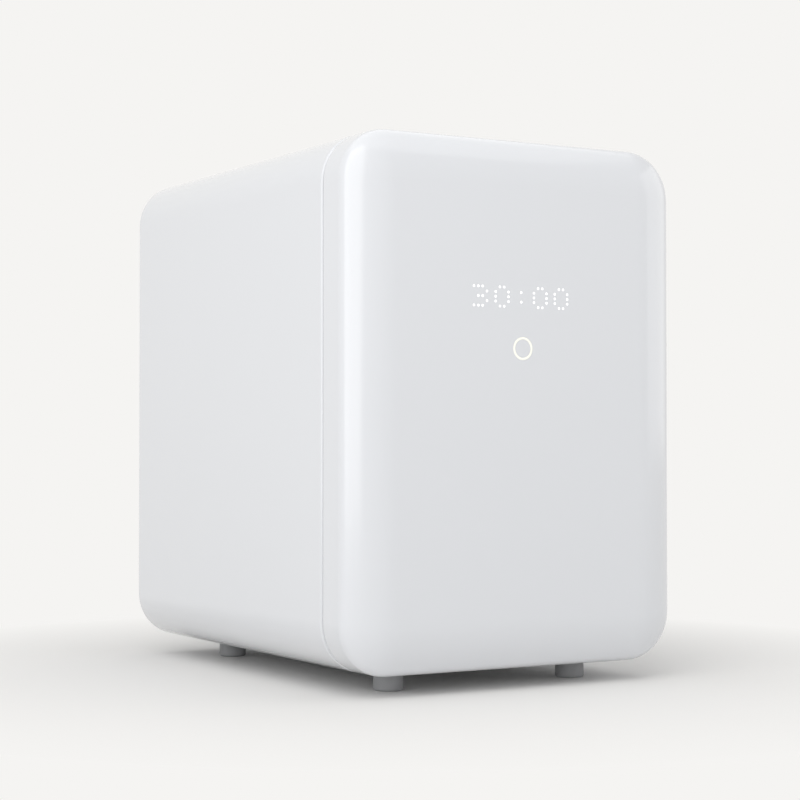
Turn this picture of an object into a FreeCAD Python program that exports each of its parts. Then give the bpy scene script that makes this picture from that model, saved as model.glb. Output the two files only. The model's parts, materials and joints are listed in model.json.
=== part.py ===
import FreeCAD, Part
import math
import os
from FreeCAD import Vector

# A countertop cabinet that sterilises baby bottles with ultraviolet light and dries them with warm air.
# Millimetres. +Z is up, the door faces -Y, and +X is on the right of someone who faces the door.
# The origin lies on the table, under the middle of the cabinet.

# Outer form
width = 284.0
depth = 374.0
body_height = 385.0
foot_height = 15.0
corner_radius = 37.0
roll_depth = 18.0            # how far back the door's rolled edge reaches
roll_core = 1.0              # corner radius that is left on the flat of the door's face
roll_side_radius = 11.0      # the roll's tighter arc, next to the door's side
roll_steps = 2               # straight steps in each of the roll's two arcs, within 0.6 mm of the arc
rear_edge_bevel = 1.2

# Walls, seams and general clearances
shell_wall = 2.5
door_wall = 2.5
door_thickness = 40.5
door_rim_bevel = 1.2
seam_gap = 2.2
fit_gap = 0.3
slip_gap = 0.1

# Sterilising chamber, a pressed steel tub
side_space = 23.0            # outer side of the cabinet to the chamber's inner side
floor_space = 54.0
roof_space = 54.0
rear_space = 80.0
sheet = 1.0
chamber_corner = 14.0
flange_width = 7.0
rail_reach = 7.0
rail_height = 6.0
rail_thickness = 1.2
lower_rail_height = 26.0     # the rail's top, above the chamber's floor
upper_rail_height = 154.0
exhaust_slots = 3
exhaust_pitch = 11.0
exhaust_half_length = 40.0
exhaust_half_height = 2.5
exhaust_from_roof = 26.0

support_width = 28.0
support_length = 30.0
support_sheet = 1.5
support_from_side = 35.0
support_from_back = 12.0

# Front frame
frame_setback = 1.3
frame_thickness = 5.0

# Rear of the shell and its cover panel
rear_step_depth = 4.7
rear_ledge = 12.0
rear_panel_thickness = 2.0
vent_rows = 6
vent_pitch = 8.0
vent_x = 52.0
vent_half_length = 34.0
vent_half_height = 1.8
vent_from_rim = 34.0

# Door hinge
pivot_from_side = 7.0
pivot_from_door_back = 9.5
pivot_from_end = 38.0        # from the shell's top or bottom
pin_radius = 2.0
pin_clearance = 0.05
eye_radius = 4.1
ear_radius = 3.8
eye_sides = 12
arm_thickness = 4.0
arm_half_neck = 3.5
arm_leg_start = 12.0
arm_leg_width = 5.5
arm_side_gap = 0.3
ear_thickness = 4.5
fork_width = 14.0
fork_web = 3.0
fork_depth = 8.0
plate_outward = 10.0         # from the pivot's height towards the cabinet's nearer end
plate_inward = 6.0
plate_left = 2.0
plate_width = 38.0
plate_thickness = 3.0
pocket_half_height = 8.0
pocket_reach = 19.5

# Magnetic catch and door sensor
strike_half_length = 15.0
strike_half_width = 3.5
strike_thickness = 1.5
strike_from_side = 9.5
strike_from_grip = 9.7
magnet_depth = 6.0
sensor_half = 3.0
sensor_length = 12.0
sensor_x = 30.0
sensor_above_chamber = 24.0

# Door inside
door_back_thickness = 2.4
door_screw_from_side = 11.0
door_screw_from_end = 74.0
door_plug_inset = 4.0
door_plug_depth = 4.2
door_plug_wall = 2.5
gasket_width = 5.0
reflector_thickness = 1.0
reflector_inset = 9.0
reflector_corner = 8.0

# Display and touch key, at the places that the door's face shows
display_height = 269.0       # above the bottom of the shell
display_width = 92.0
display_band = 24.0
display_depth = 5.0
display_margin = 8.0
display_board_half_z = 19.0
diffuser_thickness = 3.0
diffuser_rim = 2.0
thin_window = 1.0
key_height = 232.0
ring_outer_radius = 8.35
ring_line = 1.7
ring_proud = 0.1
ring_seat = 1.5
ring_sides = 24
pad_thickness = 1.5
touch_board_half_x = 17.0
touch_board_half_z = 14.0
board_thickness = 1.6

# Feet
foot_radius = 11.0
foot_x = 80.0
foot_y = 131.0

# Screws, whose heads are sunk flush
screw_radius = 1.5
screw_head_radius = 3.0
screw_head_height = 1.6
screw_length = 12.0
screw_sides = 6
boss_half = 5.0
boss_length = 16.0
frame_screw_from_end = 72.0

# Fan, heater and their duct
fan_size = 92.0
fan_thickness = 25.0
fan_bore_radius = 43.0
fan_hub_radius = 18.0
fan_tip_gap = 1.2
fan_blades = 7
blade_pitch = 40.0
blade_chord = 20.0
blade_thickness = 1.4
hub_wall = 1.5
hub_sides = 21
motor_sides = 16
bore_sides = 40
strut_width = 5.0
strut_depth = 3.0
rotor_end_gap = 1.0
motor_gap = 0.8
shaft_radius = 1.5
shaft_clearance = 0.05
shaft_end_wall = 1.0
duct_wall = 2.0
duct_flange = 3.0
duct_length = 22.0
duct_post = 10.0
heater_depth = 11.0
heater_fins = 6
heater_rail = 8.0
heater_bar_offset = 14.0
heater_bar_half = 3.0
heater_fin_half = 0.5
heater_fin_inset = 1.0
guard_size = 112.0
guard_thickness = 1.2
guard_slots = 7
guard_slot_pitch = 11.6
guard_slot_half = 3.2
guard_screw_inset = 6.0
guard_screw_length = 5.0
plate_corner = 3.0

# Air filter at the back
filter_size = 96.0
filter_depth = 8.0
filter_pleats = 12
filter_cover_size = 114.0
filter_cover_thickness = 2.2
filter_window_inset = 6.0
grille_slots = 8
grille_pitch = 11.2
grille_half_length = 43.0
grille_half_height = 2.8

# Ultraviolet lamps above and below the chamber
lamp_length = 120.0
lamp_width = 60.0
lamp_y = -18.0
lamp_glass = 2.0
lamp_sink_height = 24.0
lamp_room = 10.0
lamp_wall = 3.0
lamp_overlap = 4.0
lamp_columns = 4
lamp_rows = 2
lamp_column_pitch = 28.0
lamp_row_pitch = 26.0
sink_fins = 7
diode_half = 3.0
diode_height = 2.0

# Wire racks
rim_wire = 2.0
bar_wire = 1.25
rack_bars = 9
rack_side_gap = 1.6
rack_bend = 14.0
rack_front_gap = 14.0
wire_sides = 6

# Boards on the rear panel and the mains inlet
power_board_width = 58.0
power_board_height = 108.0
board_stand = 9.0
board_from_side = 64.0
board_middle_height = 105.0   # above the bottom of the shell
post_half = 3.0
transformer_half = 16.0
transformer_height = 22.0
capacitor_radius = 8.0
capacitor_height = 20.0
capacitor_sides = 12
relay_height = 14.0
chip_half = 8.0
chip_height = 1.8
plug_width = 12.0
plug_depth = 8.0
plug_height = 6.0
post_inset = 5.0
inlet_from_side = 54.0
inlet_above_floor = 33.5
inlet_half_x = 11.0
inlet_half_z = 8.0
inlet_flange = 3.0
inlet_flange_thickness = 1.8
inlet_depth = 20.0
socket_half_x = 8.3
socket_half_z = 4.3
socket_depth = 14.0
socket_pin_length = 9.0
socket_pin_radius = 1.2
socket_pin_x = 4.3

# Finger grip in the right side
grip_half_height = 46.0
grip_depth = 13.0
grip_run = 26.0
grip_wall = 1.8
grip_bevel = 6.0

# Places that follow from the sizes above
side_x = width / 2
front_y = -depth / 2
back_y = depth / 2
half_height = body_height / 2
bottom_z = foot_height
top_z = bottom_z + body_height
mid_z = bottom_z + half_height
door_back_y = front_y + door_thickness
body_front_y = door_back_y + seam_gap
frame_front_y = body_front_y + frame_setback
frame_back_y = frame_front_y + frame_thickness
flange_front_y = frame_front_y - sheet
chamber_x = side_x - side_space
chamber_floor = bottom_z + floor_space
chamber_roof = top_z - roof_space
chamber_mid_z = (chamber_floor + chamber_roof) / 2
chamber_half_z = (chamber_roof - chamber_floor) / 2
chamber_back_y = back_y - rear_space
pivot_x = -side_x + pivot_from_side
pivot_y = door_back_y - pivot_from_door_back
panel_front_y = back_y - rear_step_depth
panel_back_y = panel_front_y + rear_panel_thickness
rear_half_x = side_x - shell_wall
rear_half_z = half_height - shell_wall
rear_corner = corner_radius - shell_wall
fan_z = chamber_mid_z
fan_half = fan_size / 2
duct_front_y = chamber_back_y + sheet
fan_front_y = duct_front_y + duct_length
fan_back_y = fan_front_y + fan_thickness
board_y = panel_front_y - board_stand
board_z = bottom_z + board_middle_height
board_x = side_x - board_from_side
display_z = bottom_z + display_height
display_board_y = front_y + thin_window + diffuser_thickness + display_depth
key_z = bottom_z + key_height

BACKWARD = (0, 1, 0)
FORWARD = (0, -1, 0)
UP = (0, 0, 1)


def block(x0, x1, y0, y1, z0, z1):
    """A rectangular block between two corners."""
    return Part.makeBox(x1 - x0, y1 - y0, z1 - z0, Vector(x0, y0, z0))


def post(x, y0, y1, z, half):
    """A square bar that runs from front to back."""
    return block(x - half, x + half, y0, y1, z - half, z + half)


def rod(x, y, z, direction, radius, length):
    """A round bar from a point along a direction."""
    return Part.makeCylinder(radius, length, Vector(x, y, z), Vector(*direction))


def prism(x, y, z, direction, radius, length, sides):
    """A bar with flat sides. It stands for a small round one, whose many faces nobody would see."""
    along = Vector(*direction)
    across = Vector(0, 0, 1) if abs(along.z) < 0.5 else Vector(1, 0, 0)
    other = along.cross(across)
    corners = []
    for n in range(sides):
        angle = 2 * math.pi * (n + 0.5) / sides
        corners.append(Vector(x, y, z) + across * (radius * math.cos(angle)) + other * (radius * math.sin(angle)))
    return Part.Face(Part.makePolygon(corners + corners[:1])).extrude(along * length)


def merge(shapes):
    """One solid from touching or overlapping shapes."""
    return shapes[0].fuse(shapes[1:]).removeSplitter()


def cut_all(shape, tools):
    """A shape with every tool's space taken out of it."""
    return shape.cut(Part.makeCompound(tools))


def group(shapes):
    """Separate solids that share one node."""
    return Part.makeCompound(shapes)


def other_side(shape):
    """The same shape on the other side of the cabinet's middle plane."""
    return shape.mirror(Vector(0, 0, 0), Vector(1, 0, 0))


def upside_down(shape, height=mid_z):
    """The same shape mirrored at a height, which is the middle of the shell unless another is given."""
    return shape.mirror(Vector(0, 0, height), Vector(0, 0, 1))


def outline(half_x, half_z, radius, y, centre_x=0.0, centre_z=mid_z):
    """A rounded rectangle that faces the front, as a wire of lines and arcs."""
    x0, x1 = centre_x - half_x, centre_x + half_x
    z0, z1 = centre_z - half_z, centre_z + half_z
    r = radius
    c = radius * (1 - math.sqrt(0.5))
    sides = [
        ((x0 + r, z0), (x1 - r, z0), (x1 - c, z0 + c), (x1, z0 + r)),
        ((x1, z0 + r), (x1, z1 - r), (x1 - c, z1 - c), (x1 - r, z1)),
        ((x1 - r, z1), (x0 + r, z1), (x0 + c, z1 - c), (x0, z1 - r)),
        ((x0, z1 - r), (x0, z0 + r), (x0 + c, z0 + c), (x0 + r, z0)),
    ]
    edges = []
    for side in sides:
        start, bend, middle, end = [Vector(x, y, z) for x, z in side]
        edges.append(Part.LineSegment(start, bend).toShape())
        edges.append(Part.Arc(bend, middle, end).toShape())
    return Part.Wire(edges)


def rounded_block(half_x, half_z, radius, y0, y1, centre_x=0.0, centre_z=mid_z):
    """A block with a rounded rectangular outline, running from front to back."""
    face = Part.Face(outline(half_x, half_z, radius, y0, centre_x, centre_z))
    return face.extrude(Vector(0, y1 - y0, 0))


def chamber_block(growth, y0, y1):
    """A block with the chamber's inner outline, grown or shrunk all round."""
    return rounded_block(chamber_x + growth, chamber_half_z + growth, chamber_corner + growth, y0, y1,
                         0.0, chamber_mid_z)


def slot(half_length, half_height, x, z, y, run):
    """A straight slot that lies across the cabinet and is cut backward from y."""
    return block(x - half_length, x + half_length, y, y + run, z - half_height, z + half_height)


def cut_corners(plate):
    """A square plate with its four corners cut off."""
    return plate.makeChamfer(plate_corner, front_to_back_edges(plate))


def edges_at_y(shape, y):
    """The edges that lie wholly in the plane at y."""
    return [e for e in shape.Edges if abs(e.BoundBox.YMin - y) < 0.001 and abs(e.BoundBox.YMax - y) < 0.001]


def upright_edges(shape):
    """The straight edges that run along Z."""
    return [e for e in shape.Edges if e.BoundBox.ZLength > 0.001 and e.BoundBox.XLength + e.BoundBox.YLength < 0.001]


def front_to_back_edges(shape):
    """The straight edges that run along Y."""
    return [e for e in shape.Edges if e.BoundBox.YLength > 0.001 and e.BoundBox.XLength + e.BoundBox.ZLength < 0.001]


def framed_block(half_x, half_z, radius, y_front, y_back, shoulder_y, curve_points):
    """A rounded block whose front edge follows a profile, swept round all four sides and corners.

    curve_points gives the profile's edges for a local frame (reach, y), from the side to the flat front."""
    core_x = half_x - radius
    core_z = half_z - radius

    def section(x, z, out_x, out_z):
        def at(reach, y):
            return Vector(x + out_x * reach, y, z + out_z * reach)

        edges, face_reach = curve_points(at)
        corners = [at(face_reach, y_front), at(0, y_front), at(0, y_back), at(radius, y_back), at(radius, shoulder_y)]
        for a, b in zip(corners, corners[1:]):
            edges.append(Part.LineSegment(a, b).toShape())
        return Part.Face(Part.Wire(edges))

    centre = Vector(core_x, 0, mid_z + core_z)
    corner = section(core_x, mid_z + core_z, 1, 0).revolve(centre, Vector(0, -1, 0), 90)
    side = section(core_x, mid_z - core_z, 1, 0).extrude(Vector(0, 0, 2 * core_z))
    top = section(-core_x, mid_z + core_z, 0, 1).extrude(Vector(2 * core_x, 0, 0))
    middle = block(-core_x, core_x, y_front, y_back, mid_z - core_z, mid_z + core_z)
    pieces = [middle, corner, other_side(corner), upside_down(corner), other_side(upside_down(corner))]
    pieces += [side, other_side(side), top, upside_down(top)]
    return merge(pieces)


def rolled_block(half_x, half_z, radius, y_front, y_back):
    """The door's outer form. Its front edge rolls over in two tangent arcs, tight at the side and wide in front.

    Each arc is drawn in a few straight steps."""
    shoulder_y = y_front + roll_depth
    reach = radius - roll_core
    tight = roll_side_radius
    wide = (reach ** 2 + roll_depth ** 2 - 2 * reach * tight) / (2 * (roll_depth - tight))
    tight_centre = (radius - tight, shoulder_y)
    wide_centre = (roll_core, y_front + wide)
    turn = math.atan2(wide_centre[1] - tight_centre[1], tight_centre[0] - wide_centre[0])
    stretches = [(tight_centre, tight, 0.0, turn), (wide_centre, wide, turn, math.pi / 2)]

    def curve(at):
        points = [at(radius, shoulder_y)]
        for centre, arc_radius, start, end in stretches:
            for step in range(1, roll_steps + 1):
                angle = start + (end - start) * step / roll_steps
                points.append(at(centre[0] + arc_radius * math.cos(angle), centre[1] - arc_radius * math.sin(angle)))
        return [Part.LineSegment(a, b).toShape() for a, b in zip(points, points[1:])], roll_core

    return framed_block(half_x, half_z, radius, y_front, y_back, shoulder_y, curve)


def bevelled_block(half_x, half_z, radius, y_front, y_back, bevel_depth):
    """The door's hollow. Its front edge is a flat bevel, which leaves the wall thicker under the roll."""
    shoulder_y = y_front + bevel_depth

    def curve(at):
        return [Part.LineSegment(at(radius, shoulder_y), at(roll_core, y_front)).toShape()], roll_core

    return framed_block(half_x, half_z, radius, y_front, y_back, shoulder_y, curve)


def screw(x, y, z, direction, length=screw_length):
    """A screw with a sunk head, from the middle of the head's face into the part."""
    head = prism(x, y, z, direction, screw_head_radius, screw_head_height, screw_sides)
    return merge([head, prism(x, y, z, direction, screw_radius, length, screw_sides)])


# Where the screws and pads go
frame_boss_x = side_x - shell_wall - boss_half
frame_screw_places = [(sx * frame_boss_x, mid_z + sz * (half_height - frame_screw_from_end))
                      for sx in (-1, 1) for sz in (-1, 1)]
foot_places = [(sx * foot_x, sy * foot_y) for sx in (-1, 1) for sy in (-1, 1)]
panel_screw_inset = rear_ledge / 2
panel_screw_places = [(sx * (rear_half_x - panel_screw_inset), mid_z + sz * (rear_half_z - rear_corner))
                      for sx in (-1, 1) for sz in (-1, 1)]
panel_screw_length = rear_panel_thickness + shell_wall - fit_gap
strike_x = side_x - strike_from_side
strike_offset = grip_half_height + grip_wall + strike_from_grip + strike_half_length
strike_heights = (mid_z - strike_offset, mid_z + strike_offset)
door_screw_x = side_x - door_screw_from_side
door_screw_places = [(sx * door_screw_x, mid_z + sz * (half_height - door_screw_from_end))
                     for sx in (-1, 1) for sz in (-1, 1)]
guard_reach = guard_size / 2 - guard_screw_inset
guard_screw_places = [(sign * guard_reach, fan_z + sign * guard_reach) for sign in (-1, 1)]
fan_reach = fan_half - duct_post / 2
fan_screw_places = [(sx * fan_reach, fan_z + sz * fan_reach) for sx in (-1, 1) for sz in (-1, 1)]
hinge_ends = ((bottom_z + pivot_from_end, -1), (top_z - pivot_from_end, 1))
rail_tops = (chamber_floor + lower_rail_height, chamber_floor + upper_rail_height)


def frame_screw(x, z):
    return screw(x, frame_front_y, z, BACKWARD)


def panel_screw(x, z):
    return screw(x, panel_back_y, z, FORWARD, panel_screw_length)


def door_screw(x, z):
    return screw(x, door_back_y, z, FORWARD)


def guard_screw(x, z):
    return screw(x, chamber_back_y - guard_thickness, z, BACKWARD, guard_screw_length)


def fan_screw(x, z):
    """A long screw from the fan's back into a post of the duct."""
    shank = prism(x, fan_back_y, z, FORWARD, screw_radius, fan_thickness + duct_post - 2 * fit_gap, screw_sides)
    return merge([prism(x, fan_back_y, z, BACKWARD, screw_head_radius, 2.0, screw_sides), shank])


# The white case


def grip_space(growth):
    """The scoop for the fingers in the right side, grown on all its walls."""
    inner_x = side_x - grip_depth - growth
    rear_y = body_front_y + grip_run + growth
    half = grip_half_height + growth
    front = body_front_y - 1.0
    scoop = block(inner_x, side_x + 5.0, front, rear_y, mid_z - half, mid_z + half)
    rear_edge = [e for e in upright_edges(scoop) if e.BoundBox.XMax < side_x and e.BoundBox.YMin > front]
    scoop = scoop.makeChamfer(grip_bevel, rear_edge)
    ends = [e for e in front_to_back_edges(scoop) if e.BoundBox.XMax < side_x]
    return scoop.makeChamfer(grip_bevel, ends)


def frame_boss(x, z):
    """The block behind one of the front frame's screws, grown outward into the shell's wall."""
    wall = shell_wall / 2
    x0, x1 = x - boss_half, x + boss_half
    if x > 0:
        x1 += wall
    else:
        x0 -= wall
    return block(x0, x1, frame_back_y, frame_back_y + boss_length, z - boss_half, z + boss_half)


def body_shell():
    """The wrap-round case: a tube with a ledge near its back, which carries the rear panel."""
    case = rounded_block(side_x, half_height, corner_radius, body_front_y, back_y)
    case = case.makeChamfer(rear_edge_bevel, edges_at_y(case, back_y))
    inside = rounded_block(rear_half_x, rear_half_z, rear_corner, body_front_y - 1, back_y + 1)
    ledge_frame = rounded_block(rear_half_x, rear_half_z, rear_corner, panel_front_y - shell_wall, panel_front_y)
    window = rounded_block(rear_half_x - rear_ledge, rear_half_z - rear_ledge, rear_corner - rear_ledge,
                           panel_front_y - shell_wall - 1, panel_front_y + 1)
    bosses = [case.cut(inside), ledge_frame.cut(window)] + [frame_boss(x, z) for x, z in frame_screw_places]
    case = merge(bosses)
    cuts = [frame_screw(x, z) for x, z in frame_screw_places]
    cuts += [panel_screw(x, z) for x, z in panel_screw_places]
    cuts.append(grip_space(grip_wall + slip_gap))
    return cut_all(case, cuts)


def feet():
    """Four round rubber feet, bonded to the shell's floor."""
    return group([rod(x, y, 0, UP, foot_radius, foot_height) for x, y in foot_places])


def grip_cup():
    """The smooth cup that lines the finger scoop in the right side."""
    limit = block(0, side_x, frame_front_y, back_y, bottom_z, top_z)
    return grip_space(grip_wall).cut(grip_space(0.0)).common(limit)


def front_frame():
    """The flat moulding behind the door, from the shell's edge to the chamber's mouth."""
    inset = shell_wall + fit_gap
    frame = rounded_block(side_x - inset, half_height - inset, corner_radius - inset, frame_front_y, frame_back_y)
    cuts = [chamber_block(sheet + slip_gap, frame_front_y - 1, frame_back_y + 1)]
    cuts += [frame_screw(x, z) for x, z in frame_screw_places]
    for z, end in hinge_ends:
        cuts.append(hinge_plate(z, end, slip_gap))
        cuts += hinge_plate_screws(z, end)
    cuts += [strike_plate(z, slip_gap) for z in strike_heights]
    cuts.append(grip_space(grip_wall + slip_gap))
    cuts.append(post(sensor_x, frame_front_y - 1, frame_back_y + 1, chamber_roof + sensor_above_chamber,
                     sensor_half + slip_gap))
    return cut_all(frame, cuts)


def strike_plate(z, growth):
    """One steel plate that a door magnet pulls on, let into the front frame."""
    return block(strike_x - strike_half_width - growth, strike_x + strike_half_width + growth,
                 frame_front_y, frame_front_y + strike_thickness,
                 z - strike_half_length - growth, z + strike_half_length + growth)


def door_sensor():
    """The magnetic switch in the front frame that stops the lamps when the door opens."""
    return post(sensor_x, frame_front_y, frame_front_y + sensor_length, chamber_roof + sensor_above_chamber,
                sensor_half)


# The door's hinges


def hinge_plate(z, end, growth):
    """The flat foot of a hinge arm, let into the front frame's face. end is 1 at the top and -1 at the bottom."""
    x0 = pivot_x - plate_left
    heights = sorted((z - end * plate_inward, z + end * plate_outward))
    return block(x0 - growth, x0 + plate_width + growth, frame_front_y, frame_front_y + plate_thickness,
                 heights[0] - growth, heights[1] + growth)


def hinge_plate_screws(z, end):
    """The two screws of one hinge arm's foot, on either side of its leg."""
    screw_z = z + end * (plate_outward - plate_inward) / 2
    left = pivot_x + arm_leg_start - screw_head_radius - 2.0
    right = pivot_x - plate_left + plate_width - screw_head_radius - 3.0
    return [screw(x, frame_front_y, screw_z, BACKWARD, frame_thickness + fit_gap) for x in (left, right)]


def hinge_arms():
    """Two steel arms that reach out of the body round the door's edge to the pivots."""
    arms = []
    leg_end = pivot_x + arm_leg_start + arm_leg_width
    for z, end in hinge_ends:
        low = z - arm_thickness / 2
        high = z + arm_thickness / 2
        neck = block(pivot_x, leg_end, pivot_y - arm_half_neck, pivot_y + arm_half_neck, low, high)
        leg = block(pivot_x + arm_leg_start, leg_end, pivot_y, frame_front_y + plate_thickness, low, high)
        eye = prism(pivot_x, pivot_y, low, UP, eye_radius, arm_thickness, eye_sides)
        arm = merge([neck, leg, eye, hinge_plate(z, end, 0.0)])
        bore = rod(pivot_x, pivot_y, low - 1, UP, pin_radius + pin_clearance, arm_thickness + 2)
        arms.append(cut_all(arm, [bore] + hinge_plate_screws(z, end)))
    return group(arms)


def hinge_forks():
    """Two forked blocks in the door. Their ears hold the pins above and below each arm."""
    forks = []
    inner = arm_thickness / 2 + arm_side_gap
    outer = inner + ear_thickness
    x0 = pivot_x - ear_radius
    y0 = pivot_y - fork_depth
    for z, end in hinge_ends:
        pieces = [block(x0, x0 + fork_width, y0, y0 + fork_web, z - outer, z + outer)]
        for low in (z - outer, z + inner):
            ear = block(x0, x0 + fork_width, y0, pivot_y + ear_radius, low, low + ear_thickness)
            corners = [e for e in upright_edges(ear) if e.BoundBox.YMin > pivot_y]
            pieces.append(ear.makeChamfer(ear_radius * 0.6, corners))
        forks.append(cut_all(merge(pieces), [pin_end(z, sign) for sign in (-1, 1)]))
    return group(forks)


def pin_end(z, sign):
    """One six-sided end of a hinge pin, above (1) or below (-1) the arm."""
    inner = arm_thickness / 2 + arm_side_gap
    low = z + inner if sign > 0 else z - inner - ear_thickness
    return prism(pivot_x, pivot_y, low, UP, pin_radius, ear_thickness, screw_sides)


def hinge_pins():
    """Two steel pins: six-sided ends pressed into the forks' ears, and a round middle in the arm's eye."""
    made = []
    inner = arm_thickness / 2 + arm_side_gap
    for z, end in hinge_ends:
        middle = rod(pivot_x, pivot_y, z - inner, UP, pin_radius, 2 * inner)
        made.append(merge([middle, pin_end(z, -1), pin_end(z, 1)]))
    return group(made)


# The chamber


def chamber_liner():
    """The polished steel tube of the chamber, with openings for the lamps in its roof and floor."""
    tube = chamber_block(sheet, frame_front_y, chamber_back_y + sheet)
    tube = tube.cut(chamber_block(0.0, frame_front_y - 1, chamber_back_y + sheet + 1))
    openings = [block(-lamp_length / 2, lamp_length / 2, lamp_y - lamp_width / 2, lamp_y + lamp_width / 2,
                      z - 2 * sheet, z + 2 * sheet) for z in (chamber_floor, chamber_roof)]
    return cut_all(tube, openings)


def chamber_flange():
    """The flat steel flange welded round the chamber's mouth, on which the door's seal closes."""
    flange = chamber_block(sheet + flange_width, flange_front_y, frame_front_y)
    return flange.cut(chamber_block(0.0, flange_front_y - 1, frame_front_y + 1))


def chamber_back():
    """The steel sheet that closes the back of the tube, with the warm air's opening and the exhaust slots."""
    back = chamber_block(0.0, chamber_back_y, chamber_back_y + sheet)
    y = chamber_back_y - 1
    cuts = [post(0.0, y, y + sheet + 2, fan_z, fan_half - duct_wall)]
    cuts += [guard_screw(x, z) for x, z in guard_screw_places]
    for n in range(exhaust_slots):
        z = chamber_roof - exhaust_from_roof - n * exhaust_pitch
        cuts.append(slot(exhaust_half_length, exhaust_half_height, 0.0, z, y, sheet + 2))
    return cut_all(back, cuts)


def rack_rails():
    """Four angle rails, welded to the chamber's sides, that the racks rest on."""
    rails = []
    y0 = frame_front_y + chamber_corner
    y1 = chamber_back_y - chamber_corner
    wall = chamber_x
    inner = chamber_x - rail_thickness
    tip = chamber_x - rail_reach
    for top in rail_tops:
        shelf = top - rail_thickness
        points = [(wall, top - rail_height), (wall, top), (tip, top), (tip, shelf), (inner, shelf),
                  (inner, top - rail_height)]
        corners = [Vector(x, y0, z) for x, z in points]
        rail = Part.Face(Part.makePolygon(corners + corners[:1])).extrude(Vector(0, y1 - y0, 0))
        rails += [rail, other_side(rail)]
    return group(rails)


def liner_supports():
    """Two bent steel brackets that carry the back of the tub on the shell's floor."""
    made = []
    y1 = chamber_back_y - support_from_back
    y0 = y1 - support_length
    low = bottom_z + shell_wall
    high = chamber_floor - sheet
    half = support_width / 2
    web = support_sheet / 2
    for sign in (-1, 1):
        x = sign * (chamber_x - support_from_side)
        made.append(merge([block(x - half, x + half, y0, y1, low, low + support_sheet),
                           block(x - half, x + half, y0, y1, high - support_sheet, high),
                           block(x - web, x + web, y0, y1, low, high)]))
    return group(made)


def lamp_half_x():
    return lamp_length / 2 + lamp_overlap


def lamp_half_y():
    return lamp_width / 2 + lamp_overlap


def lamp_window():
    """The quartz glass plate over the lamp opening in the chamber's roof."""
    z0 = chamber_roof + sheet
    return block(-lamp_half_x(), lamp_half_x(), lamp_y - lamp_half_y(), lamp_y + lamp_half_y(), z0, z0 + lamp_glass)


def lamp_board():
    """The roof lamp's circuit board with its ultraviolet diodes."""
    top = chamber_roof + sheet + lamp_glass + lamp_room
    face = top - board_thickness
    half_x = lamp_half_x() - lamp_wall
    half_y = lamp_half_y() - lamp_wall
    pieces = [block(-half_x, half_x, lamp_y - half_y, lamp_y + half_y, face, top)]
    for column in range(lamp_columns):
        for row in range(lamp_rows):
            x = (column - (lamp_columns - 1) / 2) * lamp_column_pitch
            y = lamp_y + (row - (lamp_rows - 1) / 2) * lamp_row_pitch
            pieces.append(block(x - diode_half, x + diode_half, y - diode_half, y + diode_half,
                                face - diode_height, face))
    return merge(pieces)


def lamp_sink():
    """The finned aluminium tray over the roof lamp."""
    z0 = chamber_roof + sheet + lamp_glass
    half_x = lamp_half_x()
    half_y = lamp_half_y()
    tray = block(-half_x, half_x, lamp_y - half_y, lamp_y + half_y, z0, z0 + lamp_sink_height)
    cuts = [block(-half_x + lamp_wall, half_x - lamp_wall, lamp_y - half_y + lamp_wall, lamp_y + half_y - lamp_wall,
                  z0 - 1, z0 + lamp_room)]
    pitch = 2 * half_x / sink_fins
    for n in range(sink_fins):
        x = -half_x + pitch * (n + 0.5)
        cuts.append(block(x - pitch / 3, x + pitch / 3, lamp_y - half_y - 1, lamp_y + half_y + 1,
                          z0 + lamp_room + lamp_wall, z0 + lamp_sink_height + 1))
    return cut_all(tray, cuts)


def floor_copy(shape):
    """A roof lamp's piece, turned over for the chamber's floor."""
    return upside_down(shape, chamber_mid_z)


def wire_loop(points, radius, sides):
    """A closed flat loop of wire with mitred corners, made of flat-sided lengths."""
    rings = []
    count = len(points)
    for n in range(count):
        before = (points[n] - points[n - 1]).normalize()
        after = (points[(n + 1) % count] - points[n]).normalize()
        mitre = (before + after).normalize()
        outward = Vector(before.y, -before.x, 0)
        ring = []
        for k in range(sides):
            angle = 2 * math.pi * k / sides
            offset = outward * (radius * math.cos(angle)) + Vector(0, 0, radius * math.sin(angle))
            slide = -offset.dot(mitre) / before.dot(mitre)
            ring.append(points[n] + offset + before * slide)
        rings.append(ring)
    faces = []
    for n in range(count):
        first, second = rings[n], rings[(n + 1) % count]
        for k in range(sides):
            j = (k + 1) % sides
            corners = [first[k], first[j], second[j], second[k]]
            faces.append(Part.Face(Part.makePolygon(corners + corners[:1])))
    return Part.makeSolid(Part.makeShell(faces))


def rack(rail_top):
    """A welded wire rack that rests on a pair of rails: a bent rim wire and bars from front to back."""
    flat = math.cos(math.pi / wire_sides)
    z = rail_top + rim_wire * flat
    half_x = chamber_x - rack_side_gap - rim_wire
    y0 = frame_front_y + rack_front_gap
    y1 = chamber_back_y - guard_thickness - rack_side_gap - rim_wire
    bend_steps = 2
    points = []
    corners = [(half_x - rack_bend, y0 + rack_bend, -90), (half_x - rack_bend, y1 - rack_bend, 0),
               (rack_bend - half_x, y1 - rack_bend, 90), (rack_bend - half_x, y0 + rack_bend, 180)]
    for x, y, start in corners:
        for step in range(bend_steps + 1):
            angle = math.radians(start + 90.0 * step / bend_steps)
            points.append(Vector(x + rack_bend * math.cos(angle), y + rack_bend * math.sin(angle), z))
    pieces = [wire_loop(points, rim_wire, wire_sides)]
    bar_z = z + (rim_wire + bar_wire) * flat
    span = 2 * (half_x - rack_bend)
    for n in range(rack_bars):
        x = -span / 2 + span * n / (rack_bars - 1)
        pieces.append(prism(x, y0 - rim_wire / 2, bar_z, BACKWARD, bar_wire, y1 - y0 + rim_wire, wire_sides))
    return merge(pieces)


# Warm air


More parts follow.
